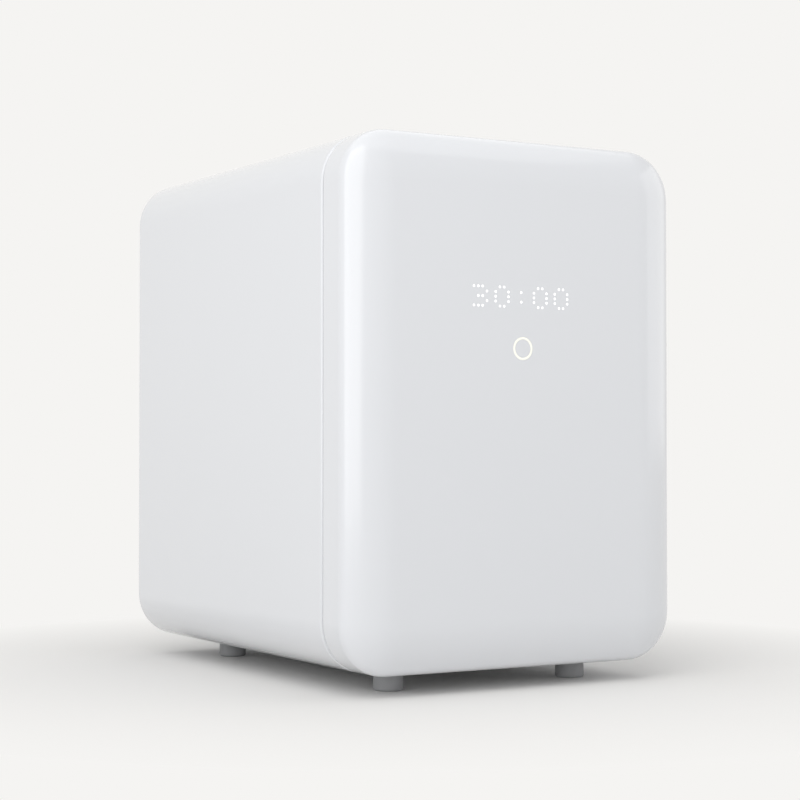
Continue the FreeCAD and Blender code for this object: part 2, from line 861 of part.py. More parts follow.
def air_guard():
    """The slotted steel guard over the warm air outlet at the back of the chamber."""
    y = chamber_back_y - guard_thickness
    plate = cut_corners(post(0.0, y, chamber_back_y, fan_z, guard_size / 2))
    cuts = [guard_screw(x, z) for x, z in guard_screw_places]
    reach = fan_bore_radius - guard_slot_half
    for n in range(guard_slots):
        offset = (n - (guard_slots - 1) / 2) * guard_slot_pitch
        half_length = math.sqrt(reach * reach - offset * offset)
        cuts.append(slot(half_length, guard_slot_half, 0.0, fan_z + offset, y - 1, guard_thickness + 2))
    return cut_all(plate, cuts)


def heater_duct():
    """The moulded duct between the fan and the chamber's back wall."""
    flange = cut_corners(post(0.0, duct_front_y, duct_front_y + duct_flange, fan_z, guard_size / 2))
    tube = post(0.0, duct_front_y, fan_front_y, fan_z, fan_half)
    duct = merge([flange, tube]).cut(post(0.0, duct_front_y - 1, fan_front_y + 1, fan_z, fan_half - duct_wall))
    posts = [post(x, fan_front_y - duct_post, fan_front_y, z, duct_post / 2) for x, z in fan_screw_places]
    duct = merge([duct] + posts)
    screws = [fan_screw(x, z) for x, z in fan_screw_places] + [guard_screw(x, z) for x, z in guard_screw_places]
    return cut_all(duct, screws)


def heater_core():
    """The heating element: flat ceramic bars between upright fins, in a frame that fills the duct."""
    half = fan_half - duct_wall - fit_gap
    y0 = duct_front_y + fit_gap
    y1 = y0 + heater_depth
    inner = half - heater_rail
    step = heater_fin_inset
    pieces = [block(-half, half, y0, y1, fan_z - half, fan_z - inner),
              block(-half, half, y0, y1, fan_z + inner, fan_z + half)]
    for z in (fan_z - heater_bar_offset, fan_z + heater_bar_offset):
        pieces.append(block(-half, half, y0 + 2 * step, y1 - 2 * step, z - heater_bar_half, z + heater_bar_half))
    span = 2 * inner
    for n in range(heater_fins):
        x = -span / 2 + span * n / (heater_fins - 1)
        pieces.append(block(x - heater_fin_half, x + heater_fin_half, y0 + step, y1 - step,
                            fan_z - inner - step, fan_z + inner + step))
    return merge(pieces)


hub_front_y = fan_front_y + strut_depth
hub_back_y = fan_back_y - strut_depth - rotor_end_gap
motor_radius = fan_hub_radius - hub_wall - motor_gap


def fan_frame():
    """The square fan housing, with a round bore and four struts that carry the motor."""
    housing = post(0.0, fan_front_y, fan_back_y, fan_z, fan_half)
    bore = prism(0, fan_front_y - 1, fan_z, BACKWARD, fan_bore_radius, fan_thickness + 2, bore_sides)
    housing = housing.cut(bore)
    strut_y = fan_back_y - strut_depth
    half = strut_width / 2
    pieces = [housing, prism(0, strut_y, fan_z, BACKWARD, motor_radius, strut_depth, motor_sides),
              block(-fan_half, fan_half, strut_y, fan_back_y, fan_z - half, fan_z + half),
              block(-half, half, strut_y, fan_back_y, fan_z - fan_half, fan_z + fan_half)]
    return cut_all(merge(pieces), [fan_screw(x, z) for x, z in fan_screw_places])


def fan_motor():
    """The fan's stator drum on the struts, with the bearing bore in it."""
    drum_front = hub_front_y + hub_wall + rotor_end_gap
    drum_length = fan_back_y - strut_depth - drum_front
    drum = prism(0, drum_front, fan_z, BACKWARD, motor_radius, drum_length, motor_sides)
    bore = rod(0, drum_front - 1, fan_z, BACKWARD, shaft_radius + shaft_clearance, drum_length + 1 - shaft_end_wall)
    return drum.cut(bore)


def fan_rotor():
    """The hub cup with its pitched blades."""
    hub_depth = hub_back_y - hub_front_y
    pieces = [prism(0, hub_front_y, fan_z, BACKWARD, fan_hub_radius, hub_depth, hub_sides)]
    pitch = math.radians(blade_pitch)
    tip = fan_bore_radius - fan_tip_gap
    half_chord = blade_chord / 2
    reach = math.sqrt(tip ** 2 - (half_chord * math.cos(pitch) + blade_thickness) ** 2)
    root = fan_hub_radius - hub_wall / 2
    mid_y = (hub_front_y + hub_back_y) / 2
    for n in range(fan_blades):
        blade = block(root, reach, mid_y - blade_thickness / 2, mid_y + blade_thickness / 2,
                      fan_z - half_chord, fan_z + half_chord)
        blade.rotate(Vector(0, mid_y, fan_z), Vector(1, 0, 0), blade_pitch)
        blade.rotate(Vector(0, 0, fan_z), Vector(0, 1, 0), 360.0 * n / fan_blades)
        pieces.append(blade)
    rotor = merge(pieces)
    hollow = prism(0, hub_front_y + hub_wall, fan_z, BACKWARD, fan_hub_radius - hub_wall, hub_depth, hub_sides)
    return cut_all(rotor, [hollow, rod(0, hub_front_y - 1, fan_z, BACKWARD, shaft_radius, hub_depth)])


def fan_shaft():
    """The rotor's steel shaft, pressed into the hub cup and running in the motor."""
    end = fan_back_y - strut_depth - shaft_end_wall - fit_gap
    return rod(0, hub_front_y, fan_z, BACKWARD, shaft_radius, end - hub_front_y)


# The removable back


def rear_panel():
    """The screwed-on back: exhaust slots above, the filter's window, and the power inlet's cut-out."""
    panel = rounded_block(rear_half_x - fit_gap, rear_half_z - fit_gap, rear_corner - fit_gap,
                          panel_front_y, panel_back_y)
    y = panel_front_y - 1
    run = rear_panel_thickness + 2
    cuts = [post(0.0, y, y + run, fan_z, filter_cover_size / 2 - filter_window_inset)]
    for column in (-1, 1):
        for row in range(vent_rows):
            z = mid_z + rear_half_z - vent_from_rim - row * vent_pitch
            cuts.append(slot(vent_half_length, vent_half_height, column * vent_x, z, y, run))
    cuts += [panel_screw(x, z) for x, z in panel_screw_places]
    cuts.append(slot(inlet_half_x, inlet_half_z, inlet_x, inlet_z, y, run))
    return cut_all(panel, cuts)


inlet_x = inlet_from_side - side_x
inlet_z = bottom_z + shell_wall + inlet_above_floor
inlet_back_y = panel_back_y + inlet_flange_thickness


def power_inlet():
    """The two-pole mains inlet, clipped into the rear panel."""
    body = slot(inlet_half_x - slip_gap, inlet_half_z - slip_gap, inlet_x, inlet_z, inlet_back_y - inlet_depth,
                inlet_depth)
    flange = slot(inlet_half_x + inlet_flange, inlet_half_z + inlet_flange, inlet_x, inlet_z, panel_back_y,
                  inlet_flange_thickness)
    socket = slot(socket_half_x, socket_half_z, inlet_x, inlet_z, inlet_back_y - socket_depth, socket_depth + 1)
    socket = socket.makeChamfer(socket_half_z * 0.6, front_to_back_edges(socket))
    return merge([body, flange]).cut(socket)


def inlet_pins():
    """The inlet's two contact pins."""
    floor = inlet_back_y - socket_depth
    return group([prism(inlet_x + s * socket_pin_x, floor, inlet_z, BACKWARD, socket_pin_radius, socket_pin_length,
                        wire_sides) for s in (-1, 1)])


def circuit_board(x, parts):
    """A board that stands upright inside the rear panel, with its parts on its front."""
    half_z = power_board_height / 2
    board = block(x - power_board_width / 2, x + power_board_width / 2, board_y - board_thickness, board_y,
                  board_z - half_z, board_z + half_z)
    return merge([board] + parts)


def board_part(x, z, half_x, half_z, height):
    """A block-shaped part on the front of a rear board."""
    face = board_y - board_thickness
    return block(x - half_x, x + half_x, face - height, face, z - half_z, z + half_z)


def power_board():
    """The power supply: a transformer, two capacitors and a plug."""
    x = -board_x
    face = board_y - board_thickness
    high = board_z + power_board_height / 2 - 2 * capacitor_radius
    low = board_z - power_board_height / 2 + plug_width
    cans = [prism(x + sign * (capacitor_radius + post_half), face - capacitor_height, high, BACKWARD,
                  capacitor_radius, capacitor_height, capacitor_sides) for sign in (-1, 1)]
    transformer = board_part(x, board_z, transformer_half, transformer_half, transformer_height)
    return circuit_board(x, cans + [transformer, board_part(x, low, plug_width, plug_depth / 2, plug_height)])


def control_board():
    """The control board: heater relay, driver chip and plugs for the lamps, fan and door."""
    x = board_x
    high = board_z + power_board_height / 2 - 2 * chip_half
    low = board_z - power_board_height / 2 + plug_width
    relay = board_part(x, high, chip_half, chip_half, relay_height)
    chip = board_part(x, board_z, chip_half, chip_half, chip_height)
    plugs = [board_part(x + n * (plug_width + post_half), low, plug_width / 2, plug_depth / 2, plug_height)
             for n in (-1, 0, 1)]
    return circuit_board(x, [relay, chip] + plugs)


def board_posts():
    """Moulded posts between the rear panel and the two boards."""
    made = []
    for sign in (-1, 1):
        for sx in (-1, 1):
            for sz in (-1, 1):
                x = sign * board_x + sx * (power_board_width / 2 - post_inset)
                z = board_z + sz * (power_board_height / 2 - post_inset)
                made.append(post(x, board_y, panel_front_y, z, post_half))
    return group(made)


def filter_cover():
    """The pull-off grille over the air intake, with a frame that holds the filter."""
    y0 = panel_back_y + slip_gap
    half = filter_cover_size / 2
    plate = cut_corners(post(0.0, y0, y0 + filter_cover_thickness, fan_z, half))
    pocket_y = y0 - filter_depth - filter_cover_thickness
    pocket = post(0.0, pocket_y, y0, fan_z, half - filter_window_inset - fit_gap)
    cuts = [post(0.0, pocket_y - 1, y0, fan_z, filter_size / 2 + slip_gap)]
    for n in range(grille_slots):
        offset = (n - (grille_slots - 1) / 2) * grille_pitch
        cuts.append(slot(grille_half_length, grille_half_height, 0.0, fan_z + offset, y0 - 1,
                         filter_cover_thickness + 2))
    return cut_all(merge([plate, pocket]), cuts)


def air_filter():
    """The pleated filter pad in the cover's frame."""
    half = filter_size / 2
    back = panel_back_y + slip_gap
    front = back - filter_depth
    fold = 2.0
    pitch = 2 * half / filter_pleats
    points = [Vector(-half, back, 0)]
    for n in range(filter_pleats):
        points.append(Vector(-half + pitch * (n + 0.5), back - fold, 0))
        points.append(Vector(-half + pitch * (n + 1), back, 0))
    for n in range(filter_pleats):
        points.append(Vector(half - pitch * n, front + fold, 0))
        points.append(Vector(half - pitch * (n + 0.5), front, 0))
    points.append(Vector(-half, front + fold, 0))
    pleated = Part.Face(Part.makePolygon(points + points[:1]))
    pleated.translate(Vector(0, 0, fan_z - half))
    return pleated.extrude(Vector(0, 0, 2 * half))


# The door


def magnet(z, growth):
    """One catch magnet, flush in the door's back."""
    return block(strike_x - strike_half_width - growth, strike_x + strike_half_width + growth,
                 door_back_y - magnet_depth, door_back_y,
                 z - strike_half_length - growth, z + strike_half_length + growth)


def touch_ring():
    """The light ring round the touch key, let into the door's face, where the wall behind it is thin."""
    length = ring_proud + ring_seat
    y = front_y - ring_proud
    ring = prism(0, y, key_z, BACKWARD, ring_outer_radius, length, ring_sides)
    return ring.cut(prism(0, y - 1, key_z, BACKWARD, ring_outer_radius - ring_line, length + 2, ring_sides))


def door_shell():
    """The door's thick rolled front moulding, open at its back."""
    outside = rolled_block(side_x, half_height, corner_radius, front_y, door_back_y)
    outside = outside.makeChamfer(door_rim_bevel, edges_at_y(outside, door_back_y))
    w = door_wall
    shell = outside.cut(bevelled_block(side_x - w, half_height - w, corner_radius - w, front_y + w, door_back_y + 1,
                                       roll_depth - w))
    solid = rolled_block(side_x - w / 2, half_height - w / 2, corner_radius - w / 2, front_y + w / 2, door_back_y)
    bosses = []
    x0 = pivot_x - ear_radius
    for z, end in hinge_ends:
        half = arm_thickness / 2 + arm_side_gap + ear_thickness
        bosses.append(block(x0, x0 + fork_width, front_y, pivot_y - fork_depth, z - half, z + half))
    for x, z in door_screw_places:
        bosses.append(post(x, front_y, door_back_y - door_back_thickness, z, boss_half))
    shell = merge([shell, group(bosses).common(solid)])
    cuts = [door_screw(x, z) for x, z in door_screw_places]
    cuts.append(block(-display_width / 2, display_width / 2, front_y + thin_window, front_y + w + 1,
                      display_z - display_band / 2, display_z + display_band / 2))
    cuts.append(touch_ring())
    return cut_all(shell, cuts)


def door_liner():
    """The moulded panel that closes the door's back, with a plug that enters the chamber's mouth."""
    inset = door_wall + slip_gap
    front = door_back_y - door_back_thickness
    plug_back = frame_front_y + door_plug_depth
    panel = rounded_block(side_x - inset, half_height - inset, corner_radius - inset, front, door_back_y)
    plug = chamber_block(-door_plug_inset, front, plug_back)
    hollow = chamber_block(-door_plug_inset - door_plug_wall, front - 1, plug_back - door_plug_wall)
    cuts = [hollow, door_reflector(slip_gap)]
    for z, end in hinge_ends:
        cuts.append(block(-side_x, pivot_x + pocket_reach, front - 1, door_back_y + 1,
                          z - pocket_half_height, z + pocket_half_height))
    cuts += [magnet(z, slip_gap) for z in strike_heights]
    cuts += [door_screw(x, z) for x, z in door_screw_places]
    return cut_all(merge([panel, plug]), cuts)


def door_reflector(growth=0.0):
    """The mirror plate in the plug's face, which throws the light back into the chamber."""
    back = frame_front_y + door_plug_depth
    inset = door_plug_inset + reflector_inset - growth
    plate = block(-chamber_x + inset, chamber_x - inset, back - reflector_thickness, back,
                  chamber_floor + inset, chamber_roof - inset)
    return plate.makeChamfer(reflector_corner, front_to_back_edges(plate))


def door_gasket():
    """The silicone seal round the plug, which meets the chamber's flange."""
    half = gasket_width / 2
    middle = flange_width / 2
    y0 = door_back_y
    y1 = flange_front_y - fit_gap
    return chamber_block(middle + half, y0, y1).cut(chamber_block(middle - half, y0 - 1, y1 + 1))


def display_diffuser():
    """The milky light guide between the display's diodes and the thinned door wall."""
    y0 = front_y + thin_window
    half_x = display_width / 2 - slip_gap
    half_z = display_band / 2 - slip_gap
    return block(-half_x, half_x, y0, y0 + diffuser_thickness, display_z - half_z, display_z + half_z)


def display_board():
    """The display's circuit board: a dot block in front, the controller chip and a plug behind."""
    y0 = display_board_y
    back = y0 + board_thickness
    half = display_width / 2
    rim = display_band / 2 - diffuser_rim
    z = display_z
    chip = chip_half / 2
    plug_x = half - plug_width
    board_half = half + display_margin
    pieces = [block(-board_half, board_half, y0, back, z - display_board_half_z, z + display_board_half_z),
              block(-half + diffuser_rim, half - diffuser_rim, y0 - display_depth, y0, z - rim, z + rim),
              block(-chip, chip, back, back + chip_height, z - chip, z + chip),
              block(plug_x, plug_x + plug_width, back, back + plug_height, z - plug_depth / 2, z + plug_depth / 2)]
    return merge(pieces)


def display_posts():
    """Two moulded posts that hold the display board off the door's wall."""
    x = display_width / 2 + display_margin / 2
    return group([post(s * x, front_y + door_wall, display_board_y, display_z, post_half) for s in (-1, 1)])


def touch_board():
    """The small board behind the touch key, with its sensing pad in front and a plug behind."""
    y0 = front_y + door_wall + pad_thickness
    back = y0 + board_thickness
    plug_z = key_z - touch_board_half_z + plug_depth
    pad = prism(0, front_y + door_wall, key_z, BACKWARD, ring_outer_radius, pad_thickness, screw_sides)
    return merge([block(-touch_board_half_x, touch_board_half_x, y0, back,
                        key_z - touch_board_half_z, key_z + touch_board_half_z), pad,
                  block(-plug_width / 2, plug_width / 2, back, back + plug_height,
                        plug_z - plug_depth / 2, plug_z + plug_depth / 2)])


nodes = {
    "body_shell": body_shell(),
    "front_frame": front_frame(),
    "frame_screws": group([frame_screw(x, z) for x, z in frame_screw_places]),
    "grip_cup": grip_cup(),
    "feet": feet(),
    "strike_plates": group([strike_plate(z, 0.0) for z in strike_heights]),
    "door_sensor": door_sensor(),
    "hinge_arms": hinge_arms(),
    "hinge_screws": group([s for z, end in hinge_ends for s in hinge_plate_screws(z, end)]),
    "chamber_liner": chamber_liner(),
    "chamber_flange": chamber_flange(),
    "chamber_back": chamber_back(),
    "rack_rails": rack_rails(),
    "liner_supports": liner_supports(),
    "lower_rack": rack(rail_tops[0]),
    "upper_rack": rack(rail_tops[1]),
    "roof_lamp_window": lamp_window(),
    "roof_lamp_board": lamp_board(),
    "roof_lamp_sink": lamp_sink(),
    "floor_lamp_window": floor_copy(lamp_window()),
    "floor_lamp_board": floor_copy(lamp_board()),
    "floor_lamp_sink": floor_copy(lamp_sink()),
    "air_guard": air_guard(),
    "guard_screws": group([guard_screw(x, z) for x, z in guard_screw_places]),
    "heater_duct": heater_duct(),
    "heater_core": heater_core(),
    "fan_frame": fan_frame(),
    "fan_motor": fan_motor(),
    "fan_rotor": fan_rotor(),
    "fan_shaft": fan_shaft(),
    "fan_screws": group([fan_screw(x, z) for x, z in fan_screw_places]),
    "rear_panel": rear_panel(),
    "panel_screws": group([panel_screw(x, z) for x, z in panel_screw_places]),
    "power_inlet": power_inlet(),
    "inlet_pins": inlet_pins(),
    "power_board": power_board(),
    "control_board": control_board(),
    "board_posts": board_posts(),
    "filter_cover": filter_cover(),
    "air_filter": air_filter(),
    "door_shell": door_shell(),
    "door_liner": door_liner(),
    "door_screws": group([door_screw(x, z) for x, z in door_screw_places]),
    "door_gasket": door_gasket(),
    "door_reflector": door_reflector(),
    "door_magnets": group([magnet(z, 0.0) for z in strike_heights]),
    "hinge_forks": hinge_forks(),
    "hinge_pins": hinge_pins(),
    "display_diffuser": display_diffuser(),
    "display_board": display_board(),
    "display_posts": display_posts(),
    "touch_ring": touch_ring(),
    "touch_board": touch_board(),
}

os.makedirs("parts", exist_ok=True)
for name, shape in nodes.items():
    shape.exportStep("parts/" + name + ".step")
    if not shape.isValid():
        print("not valid:", name)
    print(name, len(shape.Solids), "solids", round(shape.Volume / 1000, 2), "cm3")
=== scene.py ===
# %% [markdown]
# # A baby bottle sterilizer
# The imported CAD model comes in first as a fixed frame. Each piece below is then dressed where the frame
# says it is: a smooth mesh takes the place of a faceted solid, or the solid stays and gets a better finish.

# %% Load the frame
import bpy
import bmesh
import json
from math import atan2, cos, degrees, pi, radians, sin, sqrt
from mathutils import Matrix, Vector


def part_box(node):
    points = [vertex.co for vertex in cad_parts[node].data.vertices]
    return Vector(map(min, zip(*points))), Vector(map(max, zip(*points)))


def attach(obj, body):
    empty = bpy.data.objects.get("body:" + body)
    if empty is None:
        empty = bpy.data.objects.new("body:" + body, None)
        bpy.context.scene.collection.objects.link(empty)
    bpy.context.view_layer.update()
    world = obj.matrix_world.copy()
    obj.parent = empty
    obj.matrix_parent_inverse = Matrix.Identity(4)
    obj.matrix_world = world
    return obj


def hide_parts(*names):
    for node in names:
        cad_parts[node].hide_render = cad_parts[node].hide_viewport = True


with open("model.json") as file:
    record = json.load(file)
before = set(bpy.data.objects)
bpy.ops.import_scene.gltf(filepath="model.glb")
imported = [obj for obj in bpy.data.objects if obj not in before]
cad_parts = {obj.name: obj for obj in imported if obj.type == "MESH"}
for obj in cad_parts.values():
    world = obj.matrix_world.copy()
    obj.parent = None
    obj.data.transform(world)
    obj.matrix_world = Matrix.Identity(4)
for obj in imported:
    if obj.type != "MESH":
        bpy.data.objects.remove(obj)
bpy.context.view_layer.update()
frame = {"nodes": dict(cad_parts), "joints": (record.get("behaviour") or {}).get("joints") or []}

MM = 0.001

# %% [markdown]
# ## Where things are
# Every size comes from the frame's boxes, so a change in the CAD reaches the scene by itself. Only the
# corner radii and the thin walls are repeated here, because a box has no corners to measure. SLIP is the
# gap round a piece in its seat, and PAST is how far a cutter runs beyond a face.

# %% Main places
def span(node):
    """The lowest corner, the highest corner and the middle of a CAD node."""
    low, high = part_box(node)
    return low, high, (low + high) / 2


DOOR_LOW, DOOR_HIGH, _ = span("door_shell")
LINING_LOW, LINING_HIGH, _ = span("door_liner")
CASE_LOW, CASE_HIGH, CASE_MID = span("body_shell")
PLATE_LOW, PLATE_HIGH, _ = span("front_frame")
PANEL_LOW, PANEL_HIGH, _ = span("rear_panel")
CHAMBER_LOW, CHAMBER_HIGH, CHAMBER_MID = span("chamber_back")
FACE, SIDE = DOOR_LOW.y, CASE_HIGH.x
HALF_HEIGHT = (CASE_HIGH.z - CASE_LOW.z) / 2
CHAMBER_HALF = (CHAMBER_HIGH.z - CHAMBER_LOW.z) / 2
PIVOT, SPIN = [Vector(joint["pos_m"]) for joint in frame["joints"][:2]]
CORNER, CHAMBER_CORNER = 37 * MM, 14 * MM
WALL, SHEET = 2.5 * MM, 1 * MM
SLIP, PAST = 0.15 * MM, 1 * MM
print("case", [round(v / MM, 1) for v in (2 * SIDE, 2 * HALF_HEIGHT, CASE_MID.z)])

# %% [markdown]
# ## A rounded rectangle
# The cabinet is a stack of rounded rectangles that face the front. One ring of points makes each of them.
# Two more points close to the ends of every straight side keep the shading of the long flat sides truly
# flat.

# %% Arc and rounded rectangle
def arc(x, y, radius, start, end, steps=8):
    """Points on an arc, between two angles in degrees."""
    turns = [radians(start + (end - start) * n / steps) for n in range(steps + 1)]
    return [(x + radius * cos(turn), y + radius * sin(turn)) for turn in turns]


def rounded_outline(half_x, half_y, radius, steps, middle, nudge=None):
    """Flat points of a rounded rectangle. A nudge adds a point just past both ends of every corner."""
    points = []
    for right, up, start in ((1, -1, -90), (1, 1, 0), (-1, 1, 90), (-1, -1, 180)):
        x, y = middle[0] + right * (half_x - radius), middle[1] + up * (half_y - radius)
        corner = arc(x, y, radius, start, start + 90, steps)
        if nudge is not None:
            (x0, y0), (x1, y1), turn = corner[0], corner[-1], radians(start)
            corner.insert(0, (x0 + nudge * sin(turn), y0 - nudge * cos(turn)))
            corner.append((x1 - nudge * cos(turn), y1 - nudge * sin(turn)))
        points += corner
    return points


def rounded_ring(half_x, half_z, radius, y, middle_z=CASE_MID.z):
    """A rounded rectangle in the plane y. All rings have the same count of points."""
    nudge = min(1.2 * MM, (half_x - radius) / 3, (half_z - radius) / 3)
    return [(x, y, z) for x, z in rounded_outline(half_x, half_z, radius, 14, (0.0, middle_z), nudge)]


# %% The rings of this cabinet
def case_ring(inset, y):
    return rounded_ring(SIDE - inset, HALF_HEIGHT - inset, CORNER - inset, y)


def chamber_ring(growth, y):
    return rounded_ring(CHAMBER_HIGH.x + growth, CHAMBER_HALF + growth, CHAMBER_CORNER + growth, y,
                        CHAMBER_MID.z)


def square_ring(half, radius, y, z):
    return rounded_ring(half, half, radius, y, z)


# %% [markdown]
# ## From rings to a solid
# A loft joins neighbouring rings with faces. Blender's own extrude and screw tools could make some of these
# shapes, but a loft makes all of them in the same way, and its corners come out as clean as its flat sides.
# It adds its faces to a mesh in progress, so that one piece can hold several lofts.

# %% Loft
def loft(rings, closed=False, work=None):
    """Skins a row of rings. closed joins the last ring to the first; otherwise both ends are filled."""
    work = bmesh.new() if work is None else work
    rows = [[work.verts.new(p) for p in ring] for ring in rings]
    for a, b in zip(rows, rows[1:] + rows[:1] if closed else rows[1:]):
        for n in range(len(a)):
            m = (n + 1) % len(a)
            work.faces.new((a[n], a[m], b[m], b[n]))
    if not closed:
        work.faces.new(rows[0])
        work.faces.new(rows[-1])
    return work


# %% [markdown]
# ## Colours and finishes
# Real plastic and steel are never one flat colour. Each finish varies slowly in colour and roughness, and a
# fine grain disturbs the light. Pictures could do the same, but noise from nodes has no seams and needs no
# unwrapping. The pattern is fixed to the piece, so it stays put when a door turns.

# %% Shader nodes
def straight(red, green, blue):
    """A colour as the eye names it (0 to 255), turned into the light values that Blender mixes."""
    values = []
    for c in (red, green, blue):
        c = c / 255
        values.append(c / 12.92 if c <= 0.04045 else ((c + 0.055) / 1.055) ** 2.4)
    return (*values, 1.0)


def set_inputs(node, **values):
    """Sets a node's inputs by name. An underline stands for a space."""
    for name, value in values.items():
        node.inputs[name.replace("_", " ")].default_value = value
    return node


def add_node(tree, kind, **values):
    return set_inputs(tree.nodes.new("ShaderNode" + kind), **values)


def join(tree, *pairs):
    """Links nodes. Each row is a node and its output, then a node and its input."""
    for source, leaves, target, enters in pairs:
        tree.links.new(source.outputs[leaves], target.inputs[enters])


# %% Finish maker
def surface(name, colour, rough, metal=0.0, patch=0.03, patch_size=18.0, grain=0.05, grain_size=900.0,
            stretch=(1, 1, 1), rough_swing=0.06, coat=0.0, glow=0.0, clear=0.0, ior=1.5):
    """A finish with slow patches of colour and roughness, and a fine grain in its bump."""
    colour = straight(*colour)
    material = bpy.data.materials.new(name)
    material.use_nodes = True
    tree = material.node_tree
    shader = set_inputs(tree.nodes["Principled BSDF"], Metallic=metal, IOR=ior)
    place, scale = add_node(tree, "TexCoord"), add_node(tree, "Mapping", Scale=stretch)
    patches = add_node(tree, "TexNoise", Scale=patch_size, Detail=3.0)
    tint = add_node(tree, "Mix")
    tint.data_type = "RGBA"
    set_inputs(tint, A=[c * (1 - patch) for c in colour[:3]] + [1.0],
               B=[min(1.0, c * (1 + patch)) for c in colour[:3]] + [1.0])
    swing = add_node(tree, "MapRange", To_Min=max(0.02, rough - rough_swing), To_Max=rough + rough_swing)
    fine = add_node(tree, "TexNoise", Scale=grain_size, Detail=2.0)
    bump = add_node(tree, "Bump", Strength=grain, Distance=0.2 * MM)
    join(tree, (place, "Object", scale, "Vector"), (scale, "Vector", patches, "Vector"),
         (patches, "Fac", tint, "Factor"), (tint, "Result", shader, "Base Color"),
         (patches, "Fac", swing, "Value"), (swing, "Result", shader, "Roughness"),
         (scale, "Vector", fine, "Vector"), (fine, "Fac", bump, "Height"), (bump, "Normal", shader, "Normal"))
    if coat:
        set_inputs(shader, Coat_Weight=coat, Coat_Roughness=0.14)
    if glow:
        set_inputs(shader, Emission_Color=colour, Emission_Strength=glow)
    if clear:
        set_inputs(shader, Transmission_Weight=clear)
    return material


# %% The finishes of this object, by slot
FINISH = {
    "white_gloss": surface(
        "gloss_white_moulding", (225, 227, 231), 0.2, patch=0.005, patch_size=6, grain=0.01, grain_size=260,
        rough_swing=0.02, coat=1.0),
    "white_satin": surface(
        "satin_white_moulding", (226, 227, 229), 0.38, patch=0.012, grain=0.08, grain_size=1800),
    "panel_grey": surface(
        "rear_grey_moulding", (220, 222, 225), 0.46, patch=0.02, grain=0.16, grain_size=2200),
    "chamber_steel": surface(
        "polished_tub_steel", (196, 199, 203), 0.2, metal=1.0, patch=0.05, patch_size=9, grain=0.03,
        grain_size=500, stretch=(1, 9, 1), rough_swing=0.05),
    "mirror_steel": surface(
        "mirror_plate_steel", (214, 217, 221), 0.07, metal=1.0, patch=0.02, patch_size=12, grain=0.01,
        rough_swing=0.02),
    "rack_wire": surface(
        "bright_rack_wire", (205, 207, 210), 0.16, metal=1.0, patch=0.05, patch_size=60, grain=0.03),
    "bracket_steel": surface(
        "zinc_bracket_steel", (172, 175, 180), 0.34, metal=1.0, patch=0.08, patch_size=90, grain=0.08),
    "screw_steel": surface(
        "plated_screw_steel", (182, 184, 188), 0.28, metal=1.0, patch=0.08, patch_size=300, grain=0.06),
    "foot_rubber": surface(
        "foot_rubber", (163, 164, 166), 0.6, patch=0.08, patch_size=120, grain=0.3, grain_size=1500),
    "seal_silicone": surface("seal_silicone", (222, 223, 224), 0.5, patch=0.03, patch_size=60, grain=0.1),
    "ring_light": surface("lit_ring", (243, 243, 233), 0.3, patch=0.02, grain=0.0, glow=0.22),
    "milky_plastic": surface("milky_light_guide", (236, 237, 238), 0.35, patch=0.01),
    "black_plastic": surface(
        "black_nylon", (34, 35, 37), 0.42, patch=0.1, patch_size=60, grain=0.15, grain_size=1600),
    "duct_plastic": surface("duct_nylon", (196, 196, 190), 0.5, patch=0.04, patch_size=40, grain=0.15),
    "green_board": surface(
        "green_circuit_board", (28, 92, 58), 0.36, patch=0.25, patch_size=420, grain=0.3, grain_size=700),
    "lamp_board": surface("white_lamp_board", (232, 233, 230), 0.32, patch=0.04, patch_size=300, grain=0.08),
    "heat_sink": surface(
        "extruded_sink_metal", (186, 188, 192), 0.38, metal=1.0, patch=0.06, patch_size=50, grain=0.12,
        stretch=(1, 12, 1)),
    "lamp_glass": surface(
        "quartz_window", (236, 242, 246), 0.05, patch=0.01, grain=0.0, rough_swing=0.01, clear=0.92,
        ior=1.46),
    "copper_winding": surface(
        "copper_winding", (184, 108, 62), 0.3, metal=1.0, patch=0.12, patch_size=900, grain=0.4,
        grain_size=2600, stretch=(1, 6, 1)),
    "pin_brass": surface("brass_pin", (206, 178, 112), 0.26, metal=1.0, patch=0.06, patch_size=300),
    "filter_felt": surface(
        "pleated_filter_felt", (226, 226, 220), 0.85, patch=0.08, patch_size=200, grain=0.6, grain_size=1400),
    "magnet": surface("nickel_magnet", (160, 162, 166), 0.3, metal=1.0, patch=0.05, patch_size=120),
}
print("finishes:", len(FINISH))

# %% The CAD solids get their finishes
for node in frame["nodes"].values():
    for place in node.material_slots:
        place.material = FINISH.get(place.material.name.split(".")[0], FINISH["white_satin"])
print("dressed:", len(frame["nodes"]), "CAD nodes")

# %% [markdown]
# ## Solids that stay
# Many inner pieces are already right as the CAD has them: brackets, boards, rails, magnets. A real edge is
# never razor sharp, though, and it is the small bright line along an edge that makes a piece look made. A
# bevel modifier adds it without touching the CAD mesh.

# %% Soften the solids that stay
def softened(node, width):
    solid = frame["nodes"][node]
    solid.modifiers.new("weld", "WELD").merge_threshold = 0.002 * MM
    bevel = solid.modifiers.new("edges", "BEVEL")
    bevel.width, bevel.segments, bevel.limit_method = width, 2, "ANGLE"
    bevel.angle_limit = radians(40)
    bevel.harden_normals = True


for width, nodes in {
    0.15: "roof_lamp_board floor_lamp_board display_board touch_board",
    0.25: "strike_plates rack_rails",
    0.3: "door_sensor liner_supports roof_lamp_sink floor_lamp_sink door_magnets display_diffuser "
         "roof_lamp_window floor_lamp_window",
    0.4: "heater_duct power_inlet board_posts display_posts",
    0.5: "hinge_forks",
}.items():
    for node in nodes.split():
        softened(node, width * MM)
    print("edges of", width, "mm on", nodes)

